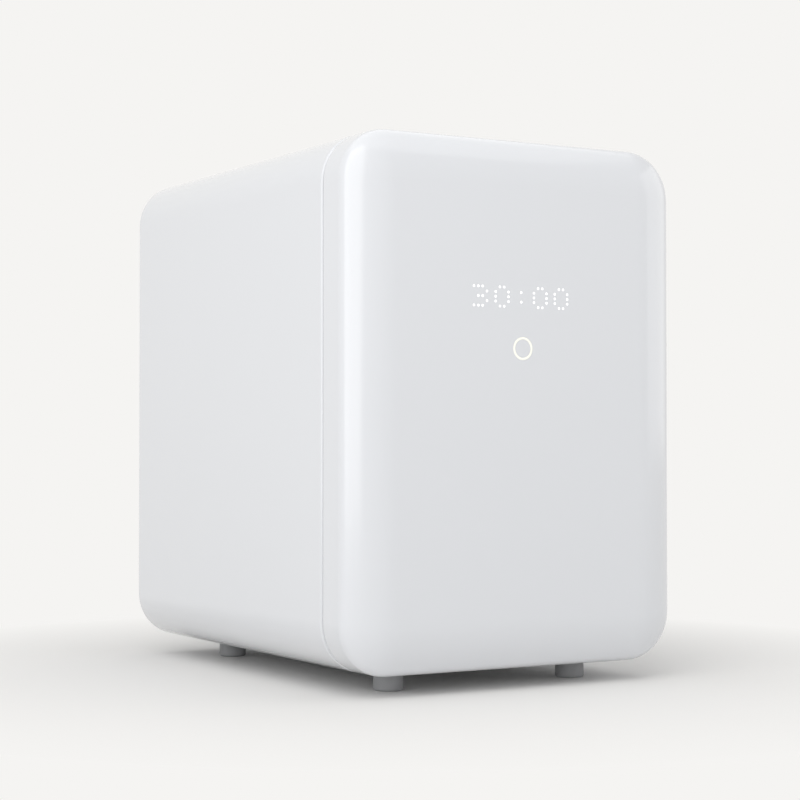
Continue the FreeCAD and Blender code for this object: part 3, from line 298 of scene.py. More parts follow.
# %% [markdown]
# ## Finishing a piece
# Here a mesh in progress becomes an object. Its faces turn outward and its shading is smooth, with crisp
# edges where the angle is sharp. Then come the material of its slot, the body it moves with and the CAD
# nodes that it stands for. One function does this for every piece, so that no step is forgotten.

# %% New objects
def add_object(name, data):
    made = bpy.data.objects.new(name, data)
    bpy.context.scene.collection.objects.link(made)
    return made


def add_mesh(name, work):
    mesh = bpy.data.meshes.new(name)
    work.to_mesh(mesh)
    work.free()
    return add_object(name, mesh)


# %% Shade and finish a piece
CRISP = {}


def shade(piece):
    piece.data.polygons.foreach_set("use_smooth", [True] * len(piece.data.polygons))
    piece.data.set_sharp_from_angle(angle=radians(CRISP[piece.name]))


def finished(work, name, slot, stands_for="", crisp=32, body="cabinet", material=None):
    bmesh.ops.recalc_face_normals(work, faces=work.faces[:])
    piece = add_mesh(name, work)
    piece.data.materials.append(material or FINISH[slot])
    CRISP[name] = crisp
    shade(piece)
    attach(piece, body)
    if stands_for:
        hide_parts(*stands_for.split())
    print(name, len(piece.data.polygons), "faces")
    return piece


# %% [markdown]
# ## The door's moulding
# The door is one thick white moulding. Its front edge rolls over in two arcs, a tight one beside the flat
# side and a wide one that runs out into the face. Each point of that profile becomes a rounded ring, and
# the loft of the rings is smooth in the corners too, where a swept edge is hard to keep clean.

# %% Profile of the roll
ROLL_DEPTH, ROLL_TIGHT, ROLL_CORE = 18 * MM, 11 * MM, 1 * MM


def roll_profile(inset):
    """(reach, y) pairs from the side of the door to the flat of its face, set back by an inset."""
    reach, shoulder = CORNER - ROLL_CORE, FACE + ROLL_DEPTH
    wide = (reach ** 2 + ROLL_DEPTH ** 2 - 2 * reach * ROLL_TIGHT) / (2 * (ROLL_DEPTH - ROLL_TIGHT))
    turn = degrees(atan2(FACE + wide - shoulder, CORNER - ROLL_TIGHT - ROLL_CORE))
    tight_arc = arc(CORNER - ROLL_TIGHT, shoulder, ROLL_TIGHT - inset, 0, -turn, 9)
    return tight_arc + arc(ROLL_CORE, FACE + wide, wide - inset, -turn, -90, 9)[1:]


def door_ring(reach, y):
    """A ring that reaches past the door's square core. Its corners are as round as it reaches."""
    return rounded_ring(SIDE - CORNER + reach, HALF_HEIGHT - CORNER + reach, max(reach, 0.05 * MM), y)


# %% Door moulding
rear, rim, flat = DOOR_HIGH.y, 0.8 * MM, 0.4 * MM
inside = [(flat, FACE + WALL)] + roll_profile(WALL)[::-1]
inside += [(CORNER - WALL, rear - 0.3 * MM), (CORNER - WALL + 0.3 * MM, rear)]
outside = arc(CORNER - rim, rear - rim, rim, 90, 0, 4)
outside += [(CORNER, rear - rim - 1.2 * MM), (CORNER, FACE + ROLL_DEPTH + 1.2 * MM)]
outside += roll_profile(0.0) + [(flat, FACE)]
work = loft([door_ring(reach, y) for reach, y in inside + outside])
door = finished(work, "door_moulding", "white_gloss", "door_shell", crisp=40, body="door")

# %% [markdown]
# ## A groove round the touch key
# The bright ring round the touch key is a light guide, let into a groove of the door's face. The groove is
# a turned shape, a profile spun round an axis, and a boolean takes its space out of the moulding. The
# boolean could stay a modifier. It is worked out at once here, because the new edges have to be shaded
# afresh.

# %% Turned shape
def across(axis):
    """Two directions square to an axis."""
    axis = Vector(axis)
    side = Vector((0, 0, 1)) if abs(axis.z) < 0.5 else Vector((1, 0, 0))
    return side, axis.cross(side)


def turned(work, profile, at, axis, steps=32, closed=False):
    """Spins (radius, height) pairs round an axis that starts at a point."""
    side, other = across(axis)
    turns = [2 * pi * n / steps for n in range(steps)]
    loft([[Vector(at) + Vector(axis) * height + (side * cos(turn) + other * sin(turn)) * radius
           for turn in turns] for radius, height in profile], closed, work)


# %% Carving
def carve(piece, cutter):
    """Takes the space of a mesh in progress out of a finished piece."""
    bmesh.ops.recalc_face_normals(cutter, faces=cutter.faces[:])
    tool = add_mesh("cutter", cutter)
    cut = piece.modifiers.new("cut", "BOOLEAN")
    cut.object, cut.solver = tool, "EXACT"
    bpy.context.view_layer.update()
    whole = piece.evaluated_get(bpy.context.evaluated_depsgraph_get())
    carved = bpy.data.meshes.new_from_object(whole)
    piece.modifiers.clear()
    piece.data = carved
    bpy.data.objects.remove(tool)
    shade(piece)
    print(" carved", piece.name, len(carved.polygons), "faces")
    assert len(carved.polygons) > 0, "nothing is left of " + piece.name


# %% Groove for the ring
RING_HIGH, RING_MID = span("touch_ring")[1:]
RING_AT = (0, FACE, RING_MID.z)
RING_OUTER, RING_INNER = RING_HIGH.x, RING_HIGH.x - 1.6 * MM
gap, depth = 0.08 * MM, 1.6 * MM
outer, inner = RING_OUTER + gap, RING_INNER - gap
groove = bmesh.new()
turned(groove, [(outer, -PAST), (outer, depth), (inner, depth), (inner, -PAST)], RING_AT, (0, 1, 0), 96,
       closed=True)
carve(door, groove)

# %% [markdown]
# ## The lit display and the light ring
# The display shines through the thin white wall, and each lit diode is a round dot. A grid of five rows
# carries plain digits. A picture of them would be less work, but real dots catch the light and stay round
# from close by. The ring lies in its groove, almost flush.

# %% Millimetres
def mm(*points):
    """Points written in millimetres, given back in the scene's metres."""
    return [tuple(value * MM for value in point) for point in points]


# %% Lit dots
GLYPHS = {
    "3": ("###.", "...#", ".##.", "...#", "###."),
    "0": (".##.", "#..#", "#..#", "#..#", ".##."),
    ":": (".", "#", ".", "#", "."),
}
DOT_PITCH_X, DOT_PITCH_Z = 3.68 * MM, 3.45 * MM
DOT_FIRST = Vector((-43.7 * MM, FACE, CASE_LOW.z + 275.9 * MM))
DOT = mm((0.88, 0.05), (0.88, 0), (0.76, -0.045), (0.4, -0.06))
DOT_LIGHT = surface("lit_dot", (255, 255, 255), 0.3, patch=0.02, grain=0.0, glow=0.6)
work, column = bmesh.new(), 0.5
for sign, gap in (("3", 1), ("0", 2), (":", 2), ("0", 1), ("0", 0)):
    for row, line in enumerate(GLYPHS[sign]):
        for n, mark in enumerate(line):
            if mark == "#":
                at = DOT_FIRST + Vector(((column + n) * DOT_PITCH_X, 0, -row * DOT_PITCH_Z))
                turned(work, DOT, at, (0, 1, 0), 20)
    column += len(GLYPHS[sign][0]) + gap
finished(work, "display_dots", "ring_light", material=DOT_LIGHT, body="door")

# %% Light ring
side = mm((0, 1.4), (0, 0), (0.15, -0.07), (0.5, -0.1))
profile = [(RING_INNER + x, y) for x, y in side] + [(RING_OUTER - x, y) for x, y in reversed(side)]
work = bmesh.new()
turned(work, profile, RING_AT, (0, 1, 0), 96, closed=True)
finished(work, "light_ring", "ring_light", "touch_ring", body="door")

# %% [markdown]
# ## The case
# The body is a wrap-round tube with the same corners as the door. Its front edge is a thin rounded lip that
# stands a hair's breadth behind the door, and a ledge near the back carries the rear panel. A bare sheet
# with a thickness modifier could be the tube, but one closed profile gives the lip and the ledge as well.

# %% Case
front, back = CASE_LOW.y, CASE_HIGH.y
lip, rear, ledge = 1.9 * MM, 1.2 * MM, WALL + 12 * MM
profile = arc(lip, front + lip, lip, 270, 180, 6) + [(0, front + 3 * MM), (0, back - 2.4 * MM)]
profile += arc(rear, back - rear, rear, 180, 90, 4)
profile += [(WALL - 0.4 * MM, back), (WALL, back - 0.4 * MM), (WALL, PANEL_LOW.y), (ledge, PANEL_LOW.y),
            (ledge, PANEL_LOW.y - WALL), (WALL, PANEL_LOW.y - WALL), (WALL, front + 0.3 * MM),
            (WALL - 0.3 * MM, front)]
work = loft([case_ring(inset, y) for inset, y in profile], closed=True)
shell = finished(work, "case", "white_gloss", "body_shell", crisp=40)

# %% [markdown]
# ## The finger scoop
# The door has no handle. A scoop in the case's right side lets a finger hook behind the door's edge and
# pull it off its magnets, and a smooth cup lines the scoop. One function gives the scoop's space at any
# growth. A large one cuts the case, and a small one, cut out of a larger one, leaves the cup's thin wall.
# That keeps the wall even in the round corners, where a scaled copy would not.

# %% Soft block
def soft_block(work, low, high, edge, steps=2):
    """A box between two corners, with its edges rounded unless edge is 0."""
    made = bmesh.ops.create_cube(work, size=1.0)["verts"]
    for v in made:
        v.co = Vector([(low[i] + high[i]) / 2 + v.co[i] * (high[i] - low[i]) for i in range(3)])
    if edge:
        edges = {e for v in made for e in v.link_edges}
        bmesh.ops.bevel(work, geom=list(edges), offset=edge, segments=steps, profile=0.5, affect="EDGES")


# %% Finger scoop
CUP_LOW, CUP_HIGH, _ = span("grip_cup")
CUP_WALL, CUP_SEAT = 1.8 * MM, 1.9 * MM


def scoop(growth, rounding):
    """The finger scoop's space. The front of it stays open to the door's gap."""
    inset = CUP_WALL - growth
    work = bmesh.new()
    soft_block(work, (CUP_LOW.x + inset, CASE_LOW.y - 12 * MM, CUP_LOW.z + inset),
               (SIDE + 8 * MM, CUP_HIGH.y - inset, CUP_HIGH.z - inset), 0)
    inner = [e for e in work.edges if min(v.co.x for v in e.verts) < SIDE - 1 * MM
             and not all(v.co.y < CASE_LOW.y - 5 * MM for v in e.verts)]
    bmesh.ops.bevel(work, geom=inner, offset=rounding, segments=6, profile=0.5, affect="EDGES")
    return work


carve(shell, scoop(CUP_SEAT, 7 * MM))

# %% Grip cup
cup = finished(scoop(CUP_WALL, 7 * MM), "grip_lining", "white_satin", "grip_cup", crisp=40)
far, front = 100 * MM, PLATE_LOW.y
x0, z0, x1, z1 = CUP_LOW.x - far, CUP_LOW.z - far, CUP_HIGH.x + far, CUP_HIGH.z + far
for low, high in (((x0, front - far, z0), (x1, front, z1)),
                  ((CUP_HIGH.x, CUP_LOW.y - far, z0), (x1, CUP_HIGH.y + far, z1))):
    beyond = bmesh.new()
    soft_block(beyond, low, high, 0)
    carve(cup, beyond)
carve(cup, scoop(0.0, 6 * MM))

# %% [markdown]
# ## The front frame
# Behind the door a flat satin moulding joins the case to the chamber. The hinge plates, magnet strikes,
# screws and the door switch sit flush in it, so each has a shallow seat with a fine gap round it. The
# seats' places could be typed in, but they are read from the CAD solids that lie in them, so they always
# fit.

# %% Separate solids of a node
def solids_of(node):
    """The lowest corner, highest corner and middle of each separate solid in a CAD node."""
    copy = bmesh.new()
    copy.from_mesh(frame["nodes"][node].data)
    bmesh.ops.remove_doubles(copy, verts=copy.verts[:], dist=1e-6)
    left, boxes = set(copy.verts), []
    while left:
        group, todo = set(), [left.pop()]
        while todo:
            vert = todo.pop()
            group.add(vert)
            for edge in vert.link_edges:
                other = edge.other_vert(vert)
                if other in left:
                    left.discard(other)
                    todo.append(other)
        low, high = [Vector([pick(p.co[i] for p in group) for i in range(3)]) for pick in (min, max)]
        boxes.append((low, high, (low + high) / 2))
    copy.free()
    return sorted(boxes, key=lambda box: tuple(round(c, 5) for c in box[0]))


# %% Screw seats
def screw_seats(cutter, node, y, into):
    """Countersunk holes for a node's screws. into is +1 where the hole runs towards the back, or -1."""
    for _, _, mid in solids_of(node):
        turned(cutter, mm((3.05, -1), (3.05, 1.5), (1.4, 1.9), (1.4, 9)), (mid.x, y, mid.z), (0, into, 0), 24)


# %% Front frame
inset, rim, edge = WALL + 0.3 * MM, SHEET + 0.1 * MM, 0.5 * MM
front, back = PLATE_LOW.y, PLATE_HIGH.y
work = loft([case_ring(inset, back), case_ring(inset, front + edge), case_ring(inset + edge, front),
             chamber_ring(rim + edge, front), chamber_ring(rim, front + edge), chamber_ring(rim, back)],
            closed=True)
plate = finished(work, "front_plate", "white_satin", "front_frame", crisp=40)
seats = bmesh.new()
for node, gap in (("strike_plates", SLIP), ("door_sensor", 0.2 * MM)):
    for low, high, _ in solids_of(node):
        soft_block(seats, low - Vector((gap, PAST, gap)), high + Vector((gap, 0, gap)), 0)
screw_seats(seats, "frame_screws", front, 1)
for low, high, _ in solids_of("hinge_arms"):
    soft_block(seats, (low.x + 1.9 * MM, front - PAST, low.z - SLIP),
               (high.x + SLIP, front + 3 * MM, high.z + SLIP), 0)
carve(plate, seats)
carve(plate, scoop(CUP_SEAT, 7 * MM))

# %% [markdown]
# ## The chamber
# The chamber is a polished steel tube with a flange round its mouth, on which the door's seal closes. Tube
# and flange could be two meshes. They are one loft, because they are welded and no seam shows. The lamps
# shine in through openings in its roof and floor.

# %% Chamber tube
low, high, _ = span("chamber_flange")
edge, reach, back = 0.3 * MM, high.x - CHAMBER_HIGH.x, span("chamber_liner")[1].y
profile = [(edge, low.y), (0, low.y + edge), (0, back), (SHEET, back), (SHEET, low.y + SHEET),
           (reach, low.y + SHEET), (reach, low.y + edge), (reach - edge, low.y)]
work = loft([chamber_ring(growth, y) for growth, y in profile], closed=True)
tube = finished(work, "chamber_tube", "chamber_steel", "chamber_liner chamber_flange", crisp=40)
windows = bmesh.new()
for node, z in (("roof_lamp_window", CHAMBER_HIGH.z), ("floor_lamp_window", CHAMBER_LOW.z)):
    outline = rounded_outline(60 * MM, 30 * MM, 6 * MM, 6, (0, span(node)[2].y))
    loft([[(x, y, height) for x, y in outline] for height in (z - 4 * MM, z + 4 * MM)], work=windows)
carve(tube, windows)

# %% [markdown]
# ## The racks
# Two welded racks hold the bottles: a thicker rim wire bent round the corners, and thin bars across it.
# Turned rods would need a joint at every bend, while a curve with a round bevel makes wire along any path.

# %% Racks
def wire_rack(name, node):
    low, high, mid = span(node)
    rim, bar, bend, bars = 2 * MM, 1.25 * MM, 14 * MM, 9
    half, y0, y1, top = high.x - rim, low.y + rim, high.y - rim, high.z - bar
    curve = bpy.data.curves.new(name, "CURVE")
    curve.dimensions, curve.bevel_depth, curve.bevel_resolution, curve.use_fill_caps = "3D", rim, 4, True

    def wire(points, radius):
        line = curve.splines.new("POLY")
        line.points.add(len(points) - 1)
        for point, at in zip(line.points, points):
            point.co, point.radius = (*at, 1.0), radius / rim
        return line

    outline = rounded_outline(half, (y1 - y0) / 2, bend, 10, (0, mid.y))
    wire([(x, y, low.z + rim) for x, y in outline], rim).use_cyclic_u = True
    for n in range(bars):
        x = (half - bend) * (2 * n / (bars - 1) - 1)
        wire([(x, y, top) for y in (y0 - 0.8 * MM, y0 + 4 * MM, y1 - 4 * MM, y1 + 0.8 * MM)], bar)
    rack = add_object(name, curve)
    curve.materials.append(FINISH["rack_wire"])
    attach(rack, "cabinet")
    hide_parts(node)
    print(name, bars, "bars")


wire_rack("lower_wire_rack", "lower_rack")
wire_rack("upper_wire_rack", "upper_rack")

# %% [markdown]
# ## The feet
# Four round rubber feet carry the cabinet. Cylinders with a bevel would come close, but a turned profile
# also gives the rounded edge of the sole and the shallow hollow in its middle.

# %% Feet
work = bmesh.new()
for low, high, mid in solids_of("feet"):
    radius, edge = (high.x - low.x) / 2, 1.6 * MM
    profile = [(radius * 0.55, 0.9 * MM), (radius * 0.6, 0.0)] + arc(radius - edge, edge, edge, -90, 0, 3)
    profile += [(radius, 3 * MM), (radius - 0.15 * MM, high.z - low.z)]
    turned(work, profile, (mid.x, mid.y, 0), (0, 0, 1), 48)
finished(work, "rubber_feet", "foot_rubber", "feet")

# %% [markdown]
# ## The door's inner panel and its seal
# The door's back is a satin panel. Its raised plug enters the chamber's mouth, a mirror plate in the plug
# throws the ultraviolet light back, and a soft silicone lip round the plug meets the chamber's flange.
# Panel and plug are one moulding, so the rings simply run on from the case's corners to the chamber's
# smaller ones.

# %% Door lining
front, back, top = LINING_LOW.y, DOOR_HIGH.y, LINING_HIGH.y
inset, edge, plug, plug_edge, recess = WALL + 0.1 * MM, 0.5 * MM, -4 * MM, 2 * MM, -12.9 * MM
mirror_corner, mirror_depth, pocket_x, pocket_half = 8 * MM, 1.05 * MM, 26.5 * MM, 8 * MM
profile = [(plug + 1 * MM, back), (plug + 0.3 * MM, back + 0.3 * MM), (plug, back + 1 * MM),
           (plug, top - plug_edge - 0.6 * MM)]
profile += arc(plug - plug_edge, top - plug_edge, plug_edge, 0, 90, 4)
profile.append((plug - plug_edge - 0.8 * MM, top))
rings = [case_ring(inset, front), case_ring(inset, back - edge), case_ring(inset + edge, back)]
rings += [chamber_ring(growth, y) for growth, y in profile]
rings += [rounded_ring(CHAMBER_HIGH.x + recess, CHAMBER_HALF + recess, mirror_corner, y, CHAMBER_MID.z)
          for y in (top, top - mirror_depth)]
work = loft(rings)
lining = finished(work, "door_lining", "white_satin", "door_liner", crisp=40, body="door")
seats = bmesh.new()
for low, high, _ in solids_of("door_magnets"):
    soft_block(seats, low - Vector((SLIP, 0, SLIP)), high + Vector((SLIP, PAST, SLIP)), 0)
screw_seats(seats, "door_screws", back, -1)
for _, _, mid in solids_of("hinge_forks"):
    soft_block(seats, (-SIDE - 5 * MM, front - PAST, mid.z - pocket_half),
               (-SIDE + pocket_x, back + PAST, mid.z + pocket_half), 0)
carve(lining, seats)

# %% Mirror plate
low, high, mid = span("door_reflector")
half_x, half_z, edge, corner = high.x, (high.z - low.z) / 2, 0.3 * MM, 8 * MM
work = loft([rounded_ring(half_x - inset, half_z - inset, corner - inset, y, mid.z)
             for inset, y in ((0, low.y), (0, high.y - edge), (edge, high.y))])
finished(work, "mirror_plate", "mirror_steel", "door_reflector", body="door")

# %% Door seal
low, high, _ = span("door_gasket")
middle, half, run = 3.5 * MM, 2.5 * MM, high.y - low.y
profile = [(-1, 0), (-1, 0.35), (-0.75, 0.62), (-0.2, 0.9), (0.25, 1), (0.6, 0.92), (0.75, 0.7),
           (0.8, 0.4), (1, 0.2), (1, 0)]
work = loft([chamber_ring(middle + half * x, low.y + run * h) for x, h in profile], closed=True)
finished(work, "door_seal", "seal_silicone", "door_gasket", crisp=50, body="door")

# %% [markdown]
# ## Screws
# Each group of screws is one piece: a turned head, countersunk below its rim, with a cross recess cut in
# it, and a plain shank. The recess is what the eye looks for, so it is really cut, with one cutter for the
# whole group.

# %% Screws
SCREW_HEAD = mm((1.3, -1.75), (2.36, -1.55), (2.95, -1.05), (2.95, -0.3), (2.7, -0.04), (2.35, 0))


def screws(group, body, outward):
    """Cross-head screws in place of a group's plain ones. outward is -1 where the heads face the front."""
    axis = Vector((0, outward, 0))
    side, other = across(axis)
    work, cross = bmesh.new(), bmesh.new()
    for low, high, mid in solids_of(group + "_screws"):
        top, length = Vector((mid.x, high.y if outward > 0 else low.y, mid.z)), high.y - low.y
        turned(work, [(0.65 * MM, -length), (1.3 * MM, 0.8 * MM - length)] + SCREW_HEAD, top, axis, 28)
        levels = []
        for depth, r, w in ((0.2, 1.9, 0.34), (-1.1, 1.1, 0.22)):
            plus = ((r, w), (w, w), (w, r), (-w, r), (-w, w), (-r, w),
                    (-r, -w), (-w, -w), (-w, -r), (w, -r), (w, -w), (r, -w))
            levels.append([top + (axis * depth + side * a + other * b) * MM for a, b in plus])
        loft(levels, work=cross)
    name = group + "_cross_screws"
    carve(finished(work, name, "screw_steel", group + "_screws", crisp=35, body=body), cross)


for group in ("frame", "hinge", "guard"):
    screws(group, "cabinet", -1)
screws("panel", "cabinet", 1)
screws("door", "door", 1)
screws("fan", "cabinet", 1)

# %% [markdown]
# ## The concealed hinge
# Nothing of the hinge shows while the door is shut. Each arm is a bent steel strip: a flat foot screwed
# flush into the front frame, a neck that swings out round the door's edge, and an eye that the door's pin
# turns in. A strip could be swept along a curve, but the eye is wider than the neck. So the outline is
# drawn flat and given a thickness, with its edges rounded as a punched and tumbled part has them.

# %% Flat part
def flat_part(work, points, low, high, edge=0.35 * MM):
    """A flat outline (x, y) with a thickness along Z and rounded rims."""
    rings = []
    for z, inset in ((low, edge), (low + edge, 0), (high - edge, 0), (high, edge)):
        ring = []
        for n, (x, y) in enumerate(points):
            along = (Vector(points[(n + 1) % len(points)]) - Vector(points[n - 1])).normalized()
            ring.append((x - along.y * inset, y + along.x * inset, z))
        rings.append(ring)
    loft(rings, work=work)


# %% Hinge arms
eye, outer, inner, half = 3.5 * MM, 4 * MM, 2 * MM, 2 * MM
leg0, leg1, end_y = PIVOT.x + 12 * MM, PIVOT.x + 17.5 * MM, PLATE_LOW.y + 0.5 * MM
outline = arc(PIVOT.x, PIVOT.y, eye, 90, 270, 14)
outline += arc(leg1 - outer, PIVOT.y - eye + outer, outer, -90, 0, 8) + [(leg1, end_y), (leg0, end_y)]
outline += arc(leg0 - inner, PIVOT.y + eye + inner, inner, 0, -90, 6)
forks = [mid.z for _, _, mid in solids_of("hinge_forks")]
work = bmesh.new()
for low, high, mid in solids_of("hinge_arms"):
    z = min(forks, key=lambda fork: abs(fork - mid.z))
    flat_part(work, outline, z - half, z + half)
    soft_block(work, (low.x + 2.1 * MM, PLATE_LOW.y, low.z), (high.x, PLATE_LOW.y + 3 * MM, high.z),
               0.5 * MM, 3)
arms = finished(work, "hinge_swan_necks", "bracket_steel", "hinge_arms", crisp=35)
holes = bmesh.new()
screw_seats(holes, "hinge_screws", PLATE_LOW.y, 1)
for low, high, _ in solids_of("hinge_pins"):
    turned(holes, [(2.05 * MM, low.z), (2.05 * MM, high.z)], (PIVOT.x, PIVOT.y, 0), (0, 0, 1))
carve(arms, holes)

# %% Hinge pins
def both_ends(start, length):
    """A profile that ends as it starts: the pairs of its start, then the same mirrored to the far end."""
    return start + [(radius, length - height) for radius, height in reversed(start)]


radius, edge = 1.98 * MM, 0.4 * MM
work = bmesh.new()
for low, high, _ in solids_of("hinge_pins"):
    start = arc(radius - edge, low.z + edge, edge, -90, 0, 3)
    turned(work, both_ends(start, low.z + high.z), (PIVOT.x, PIVOT.y, 0), (0, 0, 1))
finished(work, "hinge_pivot_pins", "screw_steel", "hinge_pins", body="door")

# %% [markdown]
# ## Slots with round ends
# A cutter runs past both faces of its plate, so that the cut leaves no skin. A punched slot has round ends,
# because the punch does. One helper makes the cutter for any number of them.

# %% Openings and slots
def opening(cutter, x, z, half_x, half_z, y0, y1):
    soft_block(cutter, (x - half_x, y0 - PAST, z - half_z), (x + half_x, y1 + PAST, z + half_z), 0)


def slot(cutter, x, z, half_length, half_height, y0, y1):
    run = half_length - half_height
    ring = arc(x + run, z, half_height, -90, 90, 10) + arc(x - run, z, half_height, 90, 270, 10)
    loft([[(px, y, pz) for px, pz in ring] for y in (y0 - PAST, y1 + PAST)], work=cutter)


# %% [markdown]
# ## Back of the chamber and its guard
# A polished sheet closes the chamber. Warm air enters through a square opening behind a slotted guard, and
# moist air leaves through three slots near the roof. All the slots of a plate go into one cutter, which is
# faster and leaves a cleaner mesh than one boolean after another.

# %% Chamber back
y0, y1 = CHAMBER_LOW.y, CHAMBER_HIGH.y
air_half, first, step = 44 * MM, CHAMBER_HIGH.z - 26 * MM, 11 * MM
work = loft([chamber_ring(-0.02 * MM, y) for y in (y0, y1)])
sheet = finished(work, "chamber_rear_sheet", "chamber_steel", "chamber_back", crisp=35)
cuts = bmesh.new()
opening(cuts, 0, span("air_guard")[2].z, air_half, air_half, y0, y1)
for n in range(3):
    slot(cuts, 0, first - n * step, half_length=40 * MM, half_height=2.5 * MM, y0=y0, y1=y1)
carve(sheet, cuts)

# %% Air guard
low, high, mid = span("air_guard")
corner, edge, reach, step = 3 * MM, 0.4 * MM, 39.8 * MM, 11.6 * MM
work = loft([square_ring(high.x - inset, corner - inset, y, mid.z)
             for inset, y in ((0, high.y), (0, low.y + edge), (edge, low.y))])
guard = finished(work, "warm_air_guard", "chamber_steel", "air_guard", crisp=35)
cuts = bmesh.new()
for n in range(7):
    rise = (n - 3) * step
    slot(cuts, 0, mid.z + rise, half_length=sqrt(reach ** 2 - rise ** 2), half_height=3.2 * MM,
         y0=low.y, y1=high.y)
screw_seats(cuts, "guard_screws", low.y, 1)
carve(guard, cuts)

# %% [markdown]
# ## The rear panel and the filter's cover
# The back is a plain grey panel with two rows of exhaust slots, a mains inlet low down and a square cover
# that pulls off with the air filter. The filter could be a flat block, but its pleats show through the
# cover's slots, so it is a sheet folded by a wave.

# %% Rear panel
inset, edge, front, back = WALL + 0.3 * MM, 0.4 * MM, PANEL_LOW.y, PANEL_HIGH.y
work = loft([case_ring(inset, front), case_ring(inset, back - edge), case_ring(inset + edge, back)])
panel = finished(work, "rear_cover_panel", "panel_grey", "rear_panel", crisp=35)
_, high, cover = span("filter_cover")
half, inlet = high.x - 6 * MM, span("power_inlet")[2]
top, step, row_x = CASE_HIGH.z - WALL - 34 * MM, 8 * MM, 52 * MM
cuts = bmesh.new()
opening(cuts, 0, cover.z, half, half, front, back)
for row in range(6):
    for x in (-row_x, row_x):
        slot(cuts, x, top - row * step, half_length=34 * MM, half_height=1.8 * MM, y0=front, y1=back)
opening(cuts, inlet.x, inlet.z, half_x=11 * MM, half_z=8 * MM, y0=front, y1=back)
screw_seats(cuts, "panel_screws", back, -1)
carve(panel, cuts)

# %% Filter's cover
low, high, mid = span("filter_cover")
half, corner, edge, face = high.x, 5 * MM, 0.9 * MM, PANEL_HIGH.y + 0.1 * MM
pocket, inner, step = half - 6.3 * MM, 48.1 * MM, 11.2 * MM
profile = [(inner, 1 * MM, face), (inner, 1 * MM, low.y), (pocket, 1.6 * MM, low.y),
           (pocket, 1.6 * MM, face), (half, corner, face)]
profile += [(half - inset, corner - inset, y) for inset, y in arc(edge, high.y - edge, edge, 180, 90, 3)]
profile += [(half - 5 * MM, 2 * MM, high.y), (half - 5.6 * MM, 2 * MM, high.y - 0.5 * MM)]
work = loft([square_ring(size, radius, y, mid.z) for size, radius, y in profile])
cover = finished(work, "filter_pull_cover", "panel_grey", "filter_cover", crisp=35, body="filter")
cuts = bmesh.new()
for n in range(8):
    slot(cuts, 0, mid.z + (n - 3.5) * step, half_length=43 * MM, half_height=2.8 * MM, y0=face, y1=high.y)
carve(cover, cuts)

# %% Pleated filter
low, high, _ = span("air_filter")
pleats, samples, fold = 24, 8, 3.2 * MM
count = pleats * samples
rings = []
for n in range(count + 1):
    x = low.x + (high.x - low.x) * n / count
    wave = 0.5 - 0.5 * cos(2 * pi * n / samples)
    back, front = high.y - fold * wave, low.y + fold * (1 - wave)
    rings.append([(x, back, low.z), (x, back, high.z), (x, front, high.z), (x, front, low.z)])
work = loft(rings)
finished(work, "pleated_air_filter", "filter_felt", "air_filter", crisp=50, body="filter")

# %% [markdown]
# ## The fan
# A square axial fan draws air through the filter and pushes it over the heater. Its blades are cambered and
# twisted: steep at the hub, flatter at the tip, because the tip moves faster through the air. A plate with
# a twist modifier would stay equally thick, so each blade is a loft of sections from hub to tip.

# %% Fan blade
HUB, TIP, BLADES = 18 * MM, 41.6 * MM, 7


def fan_blade(work, angle, middle_y):
    """One twisted, cambered blade, as a grid of sections from hub to tip."""
    sections, samples, root = 9, 10, HUB - 0.4 * MM
    rings = []
    for n in range(sections + 1):
        share = n / sections
        radius = root + (TIP - root) * share
        pitch, lead, chord = radians(52 - 22 * share), radians(-8 + 16 * share), (17 + 4 * share) * MM
        upper, lower = [], []
        for k in range(samples + 1):
            t = k / samples - 0.5
            camber = 1.5 * MM * (1 - (2 * t) ** 2)
            thick = 0.75 * MM * sqrt(max(0.0, 1 - (2 * t) ** 4)) + 0.05 * MM
            for row, off in ((upper, camber + thick), (lower, camber - thick)):
                along = t * chord * cos(pitch) - off * sin(pitch)
                rise = t * chord * sin(pitch) + off * cos(pitch)
                turn = angle + lead + along / radius
                row.append((SPIN.x + radius * cos(turn), middle_y + rise, SPIN.z + radius * sin(turn)))
        rings.append(upper + lower[::-1])
    loft(rings, work=work)


# %% Fan rotor
low, high, mid = span("fan_rotor")
depth, skirt = high.y - low.y, HUB - 1.4 * MM
profile = mm((1.5, 0.2), (5, 0.2), (6, 0), (16.4, 0), (17.5, 0.4), (18, 1.6))
profile += [(HUB, depth), (skirt, depth), (skirt, 1.5 * MM), (1.5 * MM, 1.5 * MM)]
work = bmesh.new()
turned(work, profile, (SPIN.x, low.y, SPIN.z), (0, 1, 0), 56, closed=True)
for n in range(BLADES):
    fan_blade(work, 2 * pi * n / BLADES, mid.y)
finished(work, "fan_impeller", "black_plastic", "fan_rotor", crisp=40, body="fan")

# %% Fan housing
low, high, _ = span("fan_frame")
edge, corner, length = 0.8 * MM, 4 * MM, high.y - low.y
work = loft([square_ring(high.x - inset, corner - inset, y, SPIN.z) for inset, y in
             ((edge, low.y), (0, low.y + edge), (0, high.y - edge), (edge, high.y))])
housing = finished(work, "fan_housing", "black_plastic", "fan_frame", crisp=40)
cuts = bmesh.new()
bore = both_ends(mm((44.6, -1), (43.6, 1.2), (43, 3)), length)
turned(cuts, bore, (SPIN.x, low.y, SPIN.z), (0, 1, 0), 96)
for _, _, mid in solids_of("fan_screws"):
    turned(cuts, [(2.2 * MM, -PAST), (2.2 * MM, length + PAST)], (mid.x, low.y, mid.z), (0, 1, 0), 24)
carve(housing, cuts)

# %% Fan struts
def spokes(first):
    """The directions along and across four spokes, the first one at an angle in degrees."""
    for n in range(4):
        turn = radians(first + 90 * n)
        yield Vector((cos(turn), 0, sin(turn))), Vector((-sin(turn), 0, cos(turn)))


